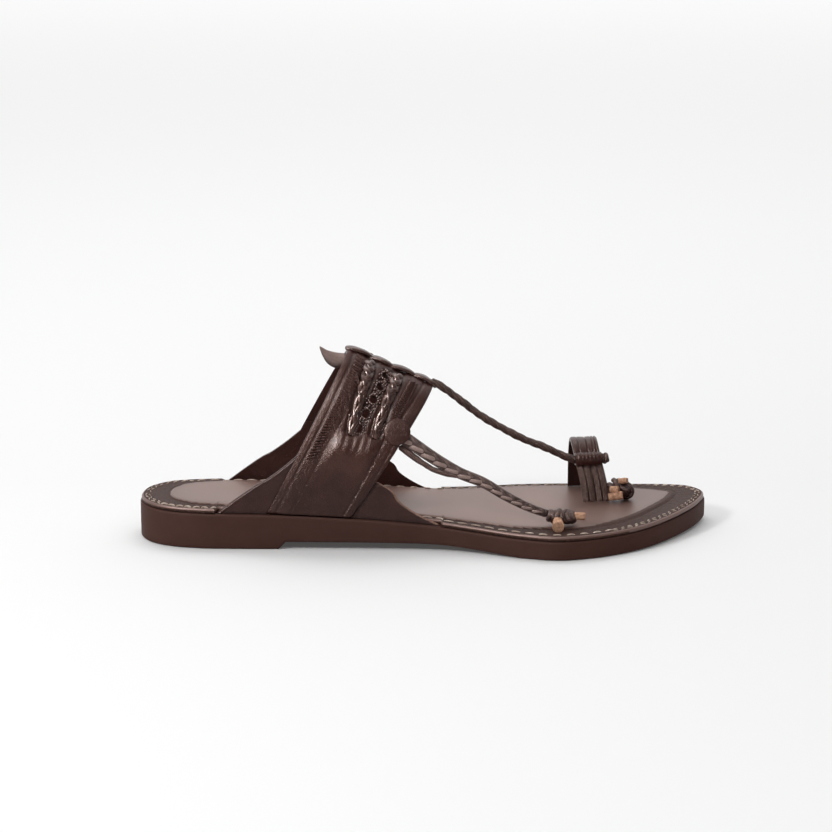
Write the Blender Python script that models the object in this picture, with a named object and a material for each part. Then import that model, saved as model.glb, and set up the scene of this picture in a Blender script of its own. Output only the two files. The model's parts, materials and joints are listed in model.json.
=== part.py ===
"""A leather kolhapuri sandal for the right foot, at rest on its sole.

Everything is worked out in millimetres from the back of the heel: x runs to the toe, y to the big toe's
side and z up from the ground. make_object moves it to the middle of the length and into metres.
"""

import functools
import math

import bmesh
import bpy
import numpy as np

MM = 0.001
GAP = 0.3                # clearance between pieces that touch

# Sole
LENGTH = 286.0
BALL_WIDTH = 101.5
HEEL_HEIGHT = 18.1       # ground to the top of the outsole's wall at the heel
HEEL_LIFT = 3.6
BREAST_PLACE = 70.5      # heel back to the front of the heel lift
BREAST_SLOPE = 3.5
TOE_SPRING = 2.0
SOLE_ROUND = 1.0         # rounding along the outsole's edges
TREAD_DEPTH = 1.2
TREAD_BAR = 2.6
TREAD_PITCH = 9.5
TREAD_MARGIN = 9.0
HEEL_TURN = 32.0         # radius of the heel's round end, which sets its stations
TOE_TURN = 52.0
STATION_STEP = 8.5
STATION_CLEARANCE = 1.5  # least space between a station and a change of level

# Insole
INSOLE_THICKNESS = 2.3
INSOLE_INSET = 0.6
INSOLE_ROUND = 0.8
NOTCH_CLEARANCE = 0.8    # between the notch for an ear and the ear's corner
NOTCH_RUN = 1.0
PAD_RAISE = 0.7
PAD_START = 15.0         # heel back to the pad's rear end
PAD_END_BORDER = 17.0    # toe tip to the pad's front end

# Arch band and ears
BAND_REAR = 64.5         # place of the band's rear edge along the sole's edge
BAND_WIDTH = 42.0        # along the sole's edge
RIDGE_HEIGHT_REAR = 91.5 # ground to the ridge's underside
RIDGE_HEIGHT_FRONT = 72.6
LEAN_REAR = 0.52         # forward run for each unit of height
LEAN_FRONT = 0.67
RIDGE_FULLNESS = 0.87    # 1 for an ellipse, less for steeper sides
EAR_WALL = 2.2
BAND_INSIDE = 1.0        # offsets of the band's faces from the ears' inner face
BAND_OUTSIDE = 4.0
BAND_RISE = 0.5
EAR_REACH_REAR = 24.5    # from the band's edges along the sole's edge
EAR_REACH_FRONT = 43.5
EAR_HEIGHT_REAR = 28.8   # where the ear's edge meets the band's
EAR_HEIGHT_FRONT = 17.7
EAR_TOP = 34.0
HOLE_RADIUS = 2.1

# Trim on the band
PLAIT_WIDTH = 5.6
PLAIT_THICKNESS = 1.9
DISC_RADIUS = 6.6
DISC_THICKNESS = 1.5
THONG_WIDTH = 5.6
THONG_THICKNESS = 1.5
THONG_HUMP = 1.3
THONG_REACH = (-0.02, 1.03) # its ends, in shares of BAND_WIDTH
THONG_BARS = 4
LEAF_LENGTH = 12.5
LEAF_DEPTH = 7.4
LEAF_THICKNESS = 3.0

# Toe ring, cords and knots
CORD_RADIUS = 2.0
CORD_START = (3.4, 0.0, -1.6) # from the top of the ridge's front end
KNOB_RADIUS = 3.1
KNOB_LENGTH = 3.6
RING_PLACE = 0.7815 * LENGTH      # heel back to the middle of the far leg
RING_NEAR_SIDE = 0.123 * BALL_WIDTH # places of the legs across the sole
RING_FAR_SIDE = 0.4286 * BALL_WIDTH
RING_HEIGHT = 29.0       # above the insole
RING_WIDTH = 13.5
RING_WALL = 2.2
RING_LEAN = 6.5          # forward run of the near leg's foot
RING_YAW = 10.0
RING_STRIPS = 4
ROLL_RADIUS = 3.5
ROLL_HEIGHT = 21.3       # above the insole
BRAID_WIDTH_ROOT = 7.0
BRAID_WIDTH_END = 4.0
BRAID_THICKNESS = 3.6
BRAID_START = (1.5, 0.0, -0.4) # from the band's front edge
STRAND_RADIUS = 1.2
KNOT_RADIUS = 4.3

# The sole's outline, round from the heel back by the little toe's side, in shares of LENGTH and BALL_WIDTH
OUTLINE = (
    (0.000, 0.000), (0.007, -0.110), (0.028, -0.197), (0.063, -0.256), (0.112, -0.289), (0.175, -0.299),
    (0.262, -0.302), (0.353, -0.307), (0.444, -0.317), (0.521, -0.332), (0.580, -0.372), (0.664, -0.458),
    (0.725, -0.499), (0.776, -0.470), (0.836, -0.392), (0.893, -0.268), (0.953, -0.060), (0.987, 0.110),
    (1.000, 0.266), (0.977, 0.390), (0.944, 0.438), (0.874, 0.478), (0.745, 0.500), (0.664, 0.476),
    (0.594, 0.408), (0.524, 0.336), (0.420, 0.305), (0.315, 0.300), (0.164, 0.306), (0.126, 0.292),
    (0.080, 0.271), (0.042, 0.232), (0.010, 0.130),
)
# Height of the outsole's wall: share of LENGTH, share of HEEL_HEIGHT
WALL_HEIGHTS = (
    (0.0, 1.0), (0.25, 0.95), (0.35, 0.88), (0.44, 0.79), (0.52, 0.68), (0.58, 0.597), (0.66, 0.53),
    (1.0, 0.53),
)
# Underside between heel and forefoot: share of LENGTH, share of HEEL_LIFT that it stands off the ground
SHANK_HEIGHTS = ((0.26, 1.0), (0.52, 0.85), (0.60, 0.4), (0.66, 0.0))
TOE_SPRING_START = 0.79  # share of LENGTH
# Dark border round the insole's pad: share of LENGTH, its width by the little toe and by the big toe
PAD_BORDERS = (
    (0.0, 15.0, 15.0), (0.05, 12.8, 12.8), (0.09, 9.8, 9.0), (0.16, 8.5, 7.2), (0.45, 8.5, 6.5),
    (0.54, 8.7, 6.5), (0.64, 11.0, 6.5), (0.71, 15.0, 6.8), (0.80, 12.8, 7.2), (0.86, 12.7, 8.0),
    (0.91, 14.0, 11.0), (1.0, 15.5, 15.5),
)
# The ears' edges: share of the height where each meets the band, share of its reach from the band
EAR_REAR_EDGE = ((0.0, 1.0), (0.5, 0.47), (0.58, 0.35), (0.8, 0.14), (1.0, 0.0))
EAR_FRONT_EDGE = ((0.0, 1.0), (0.22, 0.68), (0.53, 0.38), (0.75, 0.26), (1.0, 0.02))
EAR_ROWS = (0.0, 0.06, 0.13, 0.22, 0.32, 0.42, 0.52, 0.65, 0.8, 1.0)
# Openwork holes in each half of the band: arch angle in degrees from the base, share of BAND_WIDTH
HOLES = ((37.0, 0.482), (45.0, 0.473), (54.0, 0.47), (63.3, 0.472), (73.5, 0.475))
# Plaits, from under the thong to the lower end: arch angle, share of BAND_WIDTH
PLAITS = {
    "rear": ((78.5, 0.265), (52.5, 0.33), (33.7, 0.422)),
    "front": ((76.5, 0.593), (53.5, 0.616), (35.0, 0.687)),
}
DISC_PLACE = (40.8, 0.882)
BRAID_ROOT_ANGLE = 38.8
# Profile of the curled leaf: share of LEAF_LENGTH behind the ridge's end, shares of LEAF_DEPTH above it
LEAF_PROFILE = (
    (0.0, 0.0, -0.80), (0.33, 0.06, -1.0), (0.66, 0.20, -0.74), (0.9, 0.42, -0.12), (1.0, 0.5, 0.36),
)
# The toe ring's path: share from the near side to the far side, share of RING_HEIGHT, share of RING_LEAN
RING_PATH = (
    (0.00, 0.00, 1.00), (0.02, 0.30, 0.78), (0.07, 0.62, 0.45), (0.16, 0.86, 0.22), (0.32, 0.98, 0.10),
    (0.52, 1.00, 0.05), (0.76, 0.92, 0.02), (0.93, 0.68, 0.0), (1.00, 0.35, 0.0), (0.99, 0.00, 0.0),
)
# The toe cord from the ridge's front end: shares of its run to the roll along x, y and z
CORD_PATH = (
    (0.0, 0.0, 0.0), (0.145, 0.15, 0.18), (0.3, 0.3, 0.38), (0.486, 0.456, 0.566), (0.659, 0.647, 0.721),
    (0.777, 0.761, 0.801), (0.923, 0.94, 0.88),
)
# The side braid from its root to its knot: shares of its run along x, y and z
BRAID_PATH = (
    (0.0, 0.0, 0.0), (0.22, 0.30, 0.28), (0.38, 0.48, 0.45), (0.55, 0.62, 0.58), (0.71, 0.78, 0.76),
    (0.87, 0.92, 0.91), (1.0, 1.0, 1.0),
)
# Where the knots lie: shares of LENGTH and BALL_WIDTH
SIDE_KNOT_PLACE = (0.7255, -0.3153)
TOE_KNOT_PLACE = (0.8427, 0.138)
# A knot's lumps as middle and radii, and its raw ends as start, end and radius, in shares of KNOT_RADIUS
SIDE_KNOT_LUMPS = (((0.0, 0.0, 0.0), (1.05, 1.0, 1.0)), ((1.45, 0.12, -0.05), (0.95, 1.0, 0.93)))
SIDE_KNOT_ENDS = (
    ((0.12, -0.47, -0.19), (0.65, -1.63, -0.40), 0.51), ((1.40, 0.19, 0.09), (3.30, 0.05, 0.14), 0.44),
)
TOE_KNOT_LUMPS = (
    ((0.0, 0.0, 0.0), (0.8, 1.0, 1.0)), ((1.0, 0.23, -0.08), (0.9, 1.1, 0.92)),
    ((0.5, 0.35, 0.95), (0.75, 0.8, 0.7)),
)
TOE_KNOT_ENDS = (
    ((0.12, -0.23, -0.44), (0.56, -1.53, -0.47), 0.51), ((0.0, -0.23, 0.28), (0.07, -1.30, 0.35), 0.41),
    ((0.58, 0.0, 1.05), (1.44, -0.58, 1.25), 0.41),
)


def smooth(points, count, closed=False):
    """A centripetal Catmull-Rom curve through the points, sampled at count even parameters."""
    points = np.asarray(points, float)
    if closed:
        ring = np.vstack([points[-1:], points, points[:2]])
    else:
        ring = np.vstack([2 * points[0] - points[1], points, 2 * points[-1] - points[-2]])
    steps = np.linalg.norm(np.diff(ring, axis=0), axis=1) ** 0.5
    knots = np.concatenate([[0.0], np.cumsum(steps)])
    found = []
    for t in np.linspace(knots[1], knots[-2], count, endpoint=not closed):
        i = int(np.clip(np.searchsorted(knots, t, side="right") - 1, 1, len(ring) - 3))
        k = knots[i - 1:i + 3]
        p = ring[i - 1:i + 3]
        first = [((k[j + 1] - t) * p[j] + (t - k[j]) * p[j + 1]) / (k[j + 1] - k[j]) for j in range(3)]
        second = [((k[j + 2] - t) * first[j] + (t - k[j]) * first[j + 1]) / (k[j + 2] - k[j])
                  for j in range(2)]
        found.append(((k[2] - t) * second[0] + (t - k[1]) * second[1]) / (k[2] - k[1]))
    return np.array(found)


@functools.cache
def curve(rows, along, height):
    """The smooth line of a two-column table of shares of along and height."""
    return smooth(np.array(rows) * (along, height), 12 * len(rows))


def table(rows, along, height, at):
    """Reads the smooth line of a table of shares at a place."""
    line = curve(rows, along, height)
    return float(np.interp(at, line[:, 0], line[:, 1]))


@functools.cache
def outline(inset):
    """The sole's outline pulled in by inset: its little toe's side and its big toe's side, heel to toe."""
    ring = smooth(np.array(OUTLINE) * (LENGTH, BALL_WIDTH), 400, closed=True)
    along = np.roll(ring, -1, axis=0) - np.roll(ring, 1, axis=0)
    along /= np.linalg.norm(along, axis=1)[:, None]
    ring = ring + inset * np.column_stack([-along[:, 1], along[:, 0]])
    heel = int(ring[:, 0].argmin())
    ring = np.roll(ring, -heel, axis=0)
    toe = int(ring[:, 0].argmax())
    return ring[:toe + 1], np.vstack([ring[toe:], ring[:1]])[::-1]


def edges(x, inset=0.0):
    """Where the outline crosses the place x: y on the little toe's side and on the big toe's side."""
    little, big = outline(inset)
    return (float(np.interp(x, little[:, 0], little[:, 1])), float(np.interp(x, big[:, 0], big[:, 1])))


def stations(start, end, extra=()):
    """Places along the sole from start to end, closer together where the heel and the toe turn."""
    heel = [start + HEEL_TURN * (1 - math.cos(math.radians(a))) for a in (9, 19, 30, 41, 52, 64, 77)]
    toe = [end - TOE_TURN * (1 - math.cos(math.radians(a))) for a in (7, 15, 23, 32, 41, 50, 60, 70, 80)]
    count = round((LENGTH - HEEL_TURN - TOE_TURN) / STATION_STEP)
    middle = np.linspace(start + HEEL_TURN, end - TOE_TURN, count)
    regular = [x for x in (*heel, *middle, *toe) if all(abs(x - e) > STATION_CLEARANCE for e in extra)]
    return sorted([*regular, *extra])


def spring(x):
    """How far the toe's end of the sole lifts at x."""
    start = TOE_SPRING_START * LENGTH
    return TOE_SPRING * max(0.0, (x - start) / (LENGTH - start)) ** 2


def wall_top(x):
    return table(WALL_HEIGHTS, LENGTH, HEEL_HEIGHT, x) + spring(x)


def underside(x):
    if x <= BREAST_PLACE:
        return 0.0
    shank = table(SHANK_HEIGHTS, LENGTH, HEEL_LIFT, x)
    return min(HEEL_LIFT, HEEL_LIFT * (x - BREAST_PLACE) / BREAST_SLOPE, max(0.0, shank)) + spring(x)


def insole_top(x):
    return wall_top(x) + GAP + INSOLE_THICKNESS


def pad_top(x):
    return insole_top(x) + PAD_RAISE


def leather(name, colour, roughness):
    material = bpy.data.materials.new(name)
    material.use_nodes = True
    shader = material.node_tree.nodes["Principled BSDF"]
    shader.inputs["Base Color"].default_value = (*colour, 1.0)
    shader.inputs["Roughness"].default_value = roughness
    shader.inputs["Metallic"].default_value = 0.0
    return material


def make_object(name, points, faces, material, helper=False):
    """A mesh object from points in millimetres and faces in either direction, turned to face outwards."""
    mesh = bpy.data.meshes.new(name)
    mesh.from_pydata([((x - LENGTH / 2) * MM, y * MM, z * MM) for x, y, z in points], [], faces)
    shell = bmesh.new()
    shell.from_mesh(mesh)
    bmesh.ops.recalc_face_normals(shell, faces=shell.faces)
    if shell.calc_volume(signed=True) < 0:
        bmesh.ops.reverse_faces(shell, faces=shell.faces)
    shell.to_mesh(mesh)
    shell.free()
    mesh.shade_smooth()
    mesh.set_sharp_from_angle(angle=math.radians(40))
    made = bpy.data.objects.new(name, mesh)
    bpy.context.scene.collection.objects.link(made)
    made.data.materials.append(material)
    if helper:
        made.hide_render = True
        made.display_type = "WIRE"
    return made


def boolean(target, helper, operation):
    step = target.modifiers.new(f"{operation.lower()} {helper.name}", "BOOLEAN")
    step.operation = operation
    step.solver = "EXACT"
    step.object = helper


def loft(rings):
    """Points and faces of a closed body through rings of equal count, with flat ends."""
    count = len(rings[0])
    points = [tuple(p) for ring in rings for p in ring]
    faces = []
    for i in range(len(rings) - 1):
        for j in range(count):
            k = (j + 1) % count
            faces.append((i * count + j, i * count + k, (i + 1) * count + k, (i + 1) * count + j))
    last = (len(rings) - 1) * count
    faces.append(tuple(range(count)))
    faces.append(tuple(range(last, last + count)))
    return points, faces


def sheet(inner, outer):
    """Points and faces of a wall between two grids of points, closed along its four edges."""
    rows, columns = len(inner), len(inner[0])
    count = rows * columns
    points = [tuple(p) for grid in (inner, outer) for row in grid for p in row]
    faces = []
    for i in range(rows - 1):
        for j in range(columns - 1):
            corner = (i * columns + j, i * columns + j + 1, (i + 1) * columns + j + 1, (i + 1) * columns + j)
            faces.append(corner)
            faces.append(tuple(count + c for c in reversed(corner)))
    rim = [j for j in range(columns)]
    rim += [i * columns + columns - 1 for i in range(1, rows)]
    rim += [(rows - 1) * columns + j for j in range(columns - 2, -1, -1)]
    rim += [i * columns for i in range(rows - 2, 0, -1)]
    for a, b in zip(rim, rim[1:] + rim[:1]):
        faces.append((a, b, count + b, count + a))
    return points, faces


def sweep(path, section):
    """A body along a path: section(share, side, up) gives the ring's offsets in those two directions."""
    path = np.asarray(path, float)
    rings = []
    for i, point in enumerate(path):
        ahead = path[min(i + 1, len(path) - 1)] - path[max(i - 1, 0)]
        ahead /= np.linalg.norm(ahead)
        side = np.cross((0, 0, 1), ahead)
        side /= np.linalg.norm(side)
        rings.append(point + section(i / (len(path) - 1), side, np.cross(ahead, side)))
    return loft(rings)


def oval(width, thickness, side, up, count=10):
    turn = np.linspace(0, 2 * math.pi, count, endpoint=False)
    return 0.5 * (np.outer(width * np.cos(turn), side) + np.outer(thickness * np.sin(turn), up))


def last_point(place, angle, side, offset):
    """A point on the last that shapes the arch: place along the sole's edge, angle up the arch, from 0 at
    the base to 90 at the ridge, side -1 for the little toe's and 1 for the big toe's, offset outwards."""
    share = (place - BAND_REAR) / BAND_WIDTH
    base = wall_top(place) + GAP
    height = RIDGE_HEIGHT_REAR + share * (RIDGE_HEIGHT_FRONT - RIDGE_HEIGHT_REAR) - base
    lean = LEAN_REAR + share * (LEAN_FRONT - LEAN_REAR)
    little, big = edges(place, BAND_OUTSIDE + GAP)
    half = (big - little) / 2
    turn = math.radians(angle)
    across = half * math.cos(turn)
    up = height * math.sin(turn) ** RIDGE_FULLNESS
    rise = max(math.sin(turn), 1e-4)
    slope = np.array([height * RIDGE_FULLNESS * math.cos(turn), half * rise ** (2 - RIDGE_FULLNESS)])
    slope /= np.linalg.norm(slope)
    across += offset * slope[0]
    up += offset * slope[1]
    middle = (big + little) / 2 * (1 - up / height)
    return np.array([place + lean * up, middle + side * across, base + up])


def angle_at(place, up):
    """The arch angle where the last stands up above its base."""
    share = (place - BAND_REAR) / BAND_WIDTH
    ridge = RIDGE_HEIGHT_REAR + share * (RIDGE_HEIGHT_FRONT - RIDGE_HEIGHT_REAR)
    height = ridge - wall_top(place) - GAP
    return math.degrees(math.asin(min(1.0, (up / height) ** (1 / RIDGE_FULLNESS))))


def on_band(angle, share, side, offset):
    return last_point(BAND_REAR + share * BAND_WIDTH, angle, side, offset)


def beside(angle, share, side, ahead, up):
    """The arch angle and share of BAND_WIDTH a few millimetres ahead of and above a place on the band."""
    middle = on_band(angle, share, side, BAND_OUTSIDE)
    by_angle = on_band(angle + 1, share, side, BAND_OUTSIDE) - middle
    by_share = on_band(angle, share + 0.1, side, BAND_OUTSIDE) - middle
    forward = by_share / np.linalg.norm(by_share)
    upward = by_angle - forward * by_angle.dot(forward)
    upward /= np.linalg.norm(upward)
    wanted = forward * ahead + upward * up
    steps = np.linalg.lstsq(np.column_stack([by_angle, by_share]), wanted, rcond=None)[0]
    return angle + steps[0], share + 0.1 * steps[1]


def band(material):
    """The arch band, from the little toe's side over the ridge to the big toe's side."""
    grids = []
    for offset in (BAND_INSIDE, BAND_OUTSIDE):
        grid = []
        for turn in np.linspace(-1, 1, 45):
            row = []
            for place in np.linspace(BAND_REAR, BAND_REAR + BAND_WIDTH, 8):
                lowest = angle_at(place, BAND_RISE)
                angle = lowest + (1 - abs(turn)) * (90 - lowest)
                row.append(last_point(place, angle, -1 if turn < 0 else 1, offset))
            grid.append(row)
        grids.append(grid)
    return make_object("upper", *sheet(*grids), material)


def ear(side, material):
    """One ear, which rises from the sole's edge and runs up under the band."""
    grids = []
    for offset in (0.0, EAR_WALL):
        grid = []
        for share in EAR_ROWS:
            up = share * EAR_TOP
            rear = BAND_REAR - table(EAR_REAR_EDGE, EAR_HEIGHT_REAR, EAR_REACH_REAR, up)
            front = BAND_REAR + BAND_WIDTH + table(EAR_FRONT_EDGE, EAR_HEIGHT_FRONT, EAR_REACH_FRONT, up)
            rear += BAND_WIDTH * 0.1 * max(0.0, up / EAR_HEIGHT_REAR - 1)
            front = min(front, BAND_REAR + BAND_WIDTH * 0.93) if up > EAR_HEIGHT_FRONT else front
            grid.append([last_point(place, angle_at(place, up), side, offset)
                         for place in np.linspace(rear, front, 14)])
        grids.append(grid)
    name = "ear_little_toe_side" if side < 0 else "ear_big_toe_side"
    return make_object(name, *sheet(*grids), material, helper=True)


def hole_cutter(material):
    """Round plugs through the band, all in one helper."""
    points, faces = [], []
    for side in (-1, 1):
        for angle, share in HOLES:
            low = on_band(angle, share, side, BAND_INSIDE - 2)
            high = on_band(angle, share, side, BAND_OUTSIDE + 2)
            out = (high - low) / np.linalg.norm(high - low)
            across = np.cross(out, (1, 0, 0))
            across /= np.linalg.norm(across)
            rings = [end + oval(2 * HOLE_RADIUS, 2 * HOLE_RADIUS, across, np.cross(out, across), 8)
                     for end in (low, high)]
            more, sides = loft(rings)
            faces += [tuple(len(points) + i for i in face) for face in sides]
            points += more
    return make_object("hole_cutter", points, faces, material, helper=True)


def upper(material):
    made = band(material)
    for side in (-1, 1):
        boolean(made, ear(side, material), "UNION")
    boolean(made, hole_cutter(material), "DIFFERENCE")


def outsole(material):
    """The moulded slab with its heel lift, raised shank and toe spring, and bars cut in its tread."""
    rings = []
    for x in stations(0.0, LENGTH, (BREAST_PLACE, BREAST_PLACE + BREAST_SLOPE)):
        little, big = edges(x)
        low, high = underside(x), wall_top(x)
        tuck = min(SOLE_ROUND, 0.2 * (big - little))
        side = ((0, high - SOLE_ROUND), (tuck * 0.7, high))
        left = [(little + tuck, low), (little, low + SOLE_ROUND)] + [(little + a, z) for a, z in side]
        right = [(big - a, z) for a, z in reversed(side)] + [(big, low + SOLE_ROUND), (big - tuck, low)]
        rings.append([(x, y, z) for y, z in left + right])
    made = make_object("outsole", *loft(rings), material)
    boolean(made, tread_cutter(material), "DIFFERENCE")


def tread_cutter(material):
    """Bars across the tread of heel and forefoot, all in one helper."""
    heel = np.arange(TREAD_MARGIN * 1.5, BREAST_PLACE - TREAD_MARGIN / 2, TREAD_PITCH)
    forefoot = np.arange(SHANK_HEIGHTS[-1][0] * LENGTH + TREAD_PITCH, 0.9 * LENGTH, TREAD_PITCH)
    points, faces = [], []
    for x in (*heel, *forefoot):
        little, big = edges(x, TREAD_MARGIN)
        rear, front, top = x - TREAD_BAR / 2, x + TREAD_BAR / 2, spring(x) + TREAD_DEPTH
        rings = [[(rear, y, -1.0), (front, y, -1.0), (front, y, top), (rear, y, top)] for y in (little, big)]
        more, sides = loft(rings)
        faces += [tuple(len(points) + i for i in face) for face in sides]
        points += more
    return make_object("tread_cutter", points, faces, material, helper=True)


def pad_edges(x):
    """Where the raised pad of the insole starts on the little toe's side and ends on the big toe's side."""
    places = [row[0] * LENGTH for row in PAD_BORDERS]
    little = edges(x, float(np.interp(x, places, [row[1] for row in PAD_BORDERS])))[0]
    big = edges(x, float(np.interp(x, places, [row[2] for row in PAD_BORDERS])))[1]
    if x < PAD_START * 2:
        turn = math.sqrt(max(0.05, 1 - (2 - x / PAD_START) ** 2))
        middle = (little + big) / 2
        little, big = middle + (little - middle) * turn, middle + (big - middle) * turn
    return little, big


def insole(material):
    """The footbed: notched for the ears, with a rolled rim and a raised pad."""
    notch = BAND_OUTSIDE + 2 * GAP
    notch_start = BAND_REAR - EAR_REACH_REAR - NOTCH_CLEARANCE
    notch_end = BAND_REAR + BAND_WIDTH + EAR_REACH_FRONT + NOTCH_CLEARANCE
    pad_end = LENGTH - PAD_END_BORDER
    extra = (notch_start - NOTCH_RUN, notch_start, notch_end, notch_end + NOTCH_RUN)
    rings = []
    for x in stations(INSOLE_INSET, LENGTH - INSOLE_INSET, extra):
        inset = notch if notch_start <= x <= notch_end else INSOLE_INSET
        little, big = edges(x, inset)
        low, high = wall_top(x) + GAP, insole_top(x)
        tuck = min(INSOLE_ROUND, 0.2 * (big - little))
        if PAD_START < x < pad_end:
            pad_little, pad_big = pad_edges(x)
            pad_little = max(pad_little, little + 2 * tuck)
            pad_big = min(pad_big, big - 2 * tuck)
            raised = PAD_RAISE
        else:
            pad_little, pad_big = little + 0.45 * (big - little), little + 0.55 * (big - little)
            raised = 0.0
        ramp = min(INSOLE_ROUND, pad_little - little - tuck, big - tuck - pad_big)
        rings.append([(x, y, z) for y, z in (
            (little, low), (little, high - INSOLE_ROUND), (little + tuck, high), (pad_little - ramp, high),
            (pad_little, high + raised), (pad_big, high + raised), (pad_big + ramp, high),
            (big - tuck, high), (big, high - INSOLE_ROUND), (big, low))])
    make_object("insole", *loft(rings), material)


def plait(which, side, material):
    """A lobed plait laid on the band, from just under the thong to its lower end."""
    line = smooth(PLAITS[which], 21)
    route = [on_band(angle, share, side, BAND_OUTSIDE + GAP) for angle, share in line]
    rings = []
    for i, low in enumerate(route):
        out = on_band(*line[i], side, BAND_OUTSIDE + 2) - low
        out /= np.linalg.norm(out)
        ahead = route[min(i + 1, len(route) - 1)] - route[max(i - 1, 0)]
        across = np.cross(out, ahead)
        across /= np.linalg.norm(across)
        lobe = 0.82 if i % 2 else 1.0
        taper = 0.6 if i in (0, len(line) - 1) else 1.0
        half = PLAIT_WIDTH / 2 * lobe * taper
        thick = PLAIT_THICKNESS * lobe * taper
        rings.append([low + across * a * half + out * t * thick
                      for a, t in ((-1, 0.15), (-0.6, 0.85), (0, 1.0), (0.6, 0.85), (1, 0.15), (0, 0.1))])
    toe = "little_toe_side" if side < 0 else "big_toe_side"
    make_object(f"plait_{which}_{toe}", *loft(rings), material)


def side_disc(material):
    """The round leather disc over the root of the side braid."""
    rings = []
    for offset, radius in ((GAP, DISC_RADIUS), (GAP + DISC_THICKNESS * 0.6, DISC_RADIUS),
                           (GAP + DISC_THICKNESS, DISC_RADIUS * 0.86)):
        turns = np.linspace(0, 2 * math.pi, 20, endpoint=False)
        places = [beside(*DISC_PLACE, -1, radius * math.cos(turn), radius * math.sin(turn)) for turn in turns]
        rings.append([on_band(angle, share, -1, BAND_OUTSIDE + offset) for angle, share in places])
    make_object("side_disc", *loft(rings), material)


def spine_thong(material):
    """The thong laced along the ridge, which shows as a row of humped bars."""
    rings = []
    count = 8 * THONG_BARS + 1
    for i in range(count):
        share = THONG_REACH[0] + (THONG_REACH[1] - THONG_REACH[0]) * i / (count - 1)
        hump = abs(math.sin(math.pi * THONG_BARS * i / (count - 1))) ** 0.7
        low = on_band(90, share, 1, BAND_OUTSIDE + GAP)
        high = on_band(90, share, 1, BAND_OUTSIDE + GAP + THONG_THICKNESS + THONG_HUMP * hump)
        half = THONG_WIDTH / 2 * (0.72 + 0.28 * hump)
        side = np.array([0.0, 1.0, 0.0])
        droop = 0.3 * (high - low)
        rings.append([low - side * half, low + side * half, low + side * half + droop,
                      high + side * half * 0.7 - droop, high, high - side * half * 0.7 - droop,
                      low - side * half + droop])
    make_object("spine_thong", *loft(rings), material)


def tail_leaf(material):
    """The thong's pointed end, which comes out of the band's rear edge and curls up behind it."""
    root = on_band(90, 0.0, 1, BAND_INSIDE) - (1.3 * GAP, 0, 0)
    rings = []
    for back, top, bottom in smooth(LEAF_PROFILE, 12):
        x = root[0] - back * LEAF_LENGTH
        high = root[2] + top * LEAF_DEPTH
        low = root[2] + bottom * LEAF_DEPTH
        thick = LEAF_THICKNESS * (1 - 0.55 * back)
        rings.append([(x, y * thick, z) for y, z in (
            (-0.5, low + 0.25 * (high - low)), (-0.2, low), (0.2, low), (0.5, low + 0.25 * (high - low)),
            (0.5, high - 0.2 * (high - low)), (0.2, high), (-0.2, high), (-0.5, high - 0.2 * (high - low)))])
    make_object("tail_leaf", *loft(rings), material)


def ring_way():
    """The direction across the toe ring's strip, which is also the roll's axis."""
    yaw = math.radians(RING_YAW)
    return np.array([math.cos(yaw), math.sin(yaw), 0.0])


def roll_middle():
    """The middle of the roll on the toe ring's near leg."""
    floor = pad_top(RING_PLACE) + GAP
    line = ring_line()
    near = line[:len(line) // 2]
    at = near[np.abs(near[:, 2] - floor - ROLL_HEIGHT).argmin()]
    return np.array([at[0], at[1] - 0.3 * ROLL_RADIUS, floor + ROLL_HEIGHT])


def ring_line():
    floor = pad_top(RING_PLACE) + GAP
    return smooth([(RING_PLACE + lean * RING_LEAN, RING_NEAR_SIDE + across * (RING_FAR_SIDE - RING_NEAR_SIDE),
                    floor + up * RING_HEIGHT) for across, up, lean in RING_PATH], 25)


def toe_ring(material):
    """The big toe's loop: a strip with raised bands, and a roll on its near leg that holds the cord."""
    line = ring_line()
    way = ring_way()
    rings = []
    for i, point in enumerate(line):
        ahead = line[min(i + 1, len(line) - 1)] - line[max(i - 1, 0)]
        ahead[0] = 0.0
        if i in (0, len(line) - 1):
            ahead[1] = 0.0
        ahead /= np.linalg.norm(ahead)
        out = np.cross(ahead, (1.0, 0.0, 0.0))
        if i in (0, len(line) - 1):
            out[2] = 0.0
        ring = []
        for k in range(RING_STRIPS):
            for share, raised in ((0.08, 0.0), (0.3, 0.5), (0.7, 0.5), (0.92, 0.0)):
                ring.append(point + way * RING_WIDTH * ((k + share) / RING_STRIPS - 0.5) - out * raised)
        ring += [point + way * RING_WIDTH * s + out * RING_WALL for s in (0.48, 0.0, -0.48)]
        rings.append(ring)
    made = make_object("toe_ring", *loft(rings), material)
    middle = roll_middle()
    side = np.cross((0, 0, 1), way)
    for name, radius, half, operation in (("roll", ROLL_RADIUS, RING_WIDTH / 2, "UNION"),
                                          ("roll_bore", CORD_RADIUS + GAP, RING_WIDTH, "DIFFERENCE")):
        rings = [middle + way * end * half + oval(2 * radius, 2 * radius, side, np.array([0, 0, 1.0]), 14)
                 for end in (-1, 1)]
        boolean(made, make_object(name, *loft(rings), material, helper=True), operation)


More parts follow.
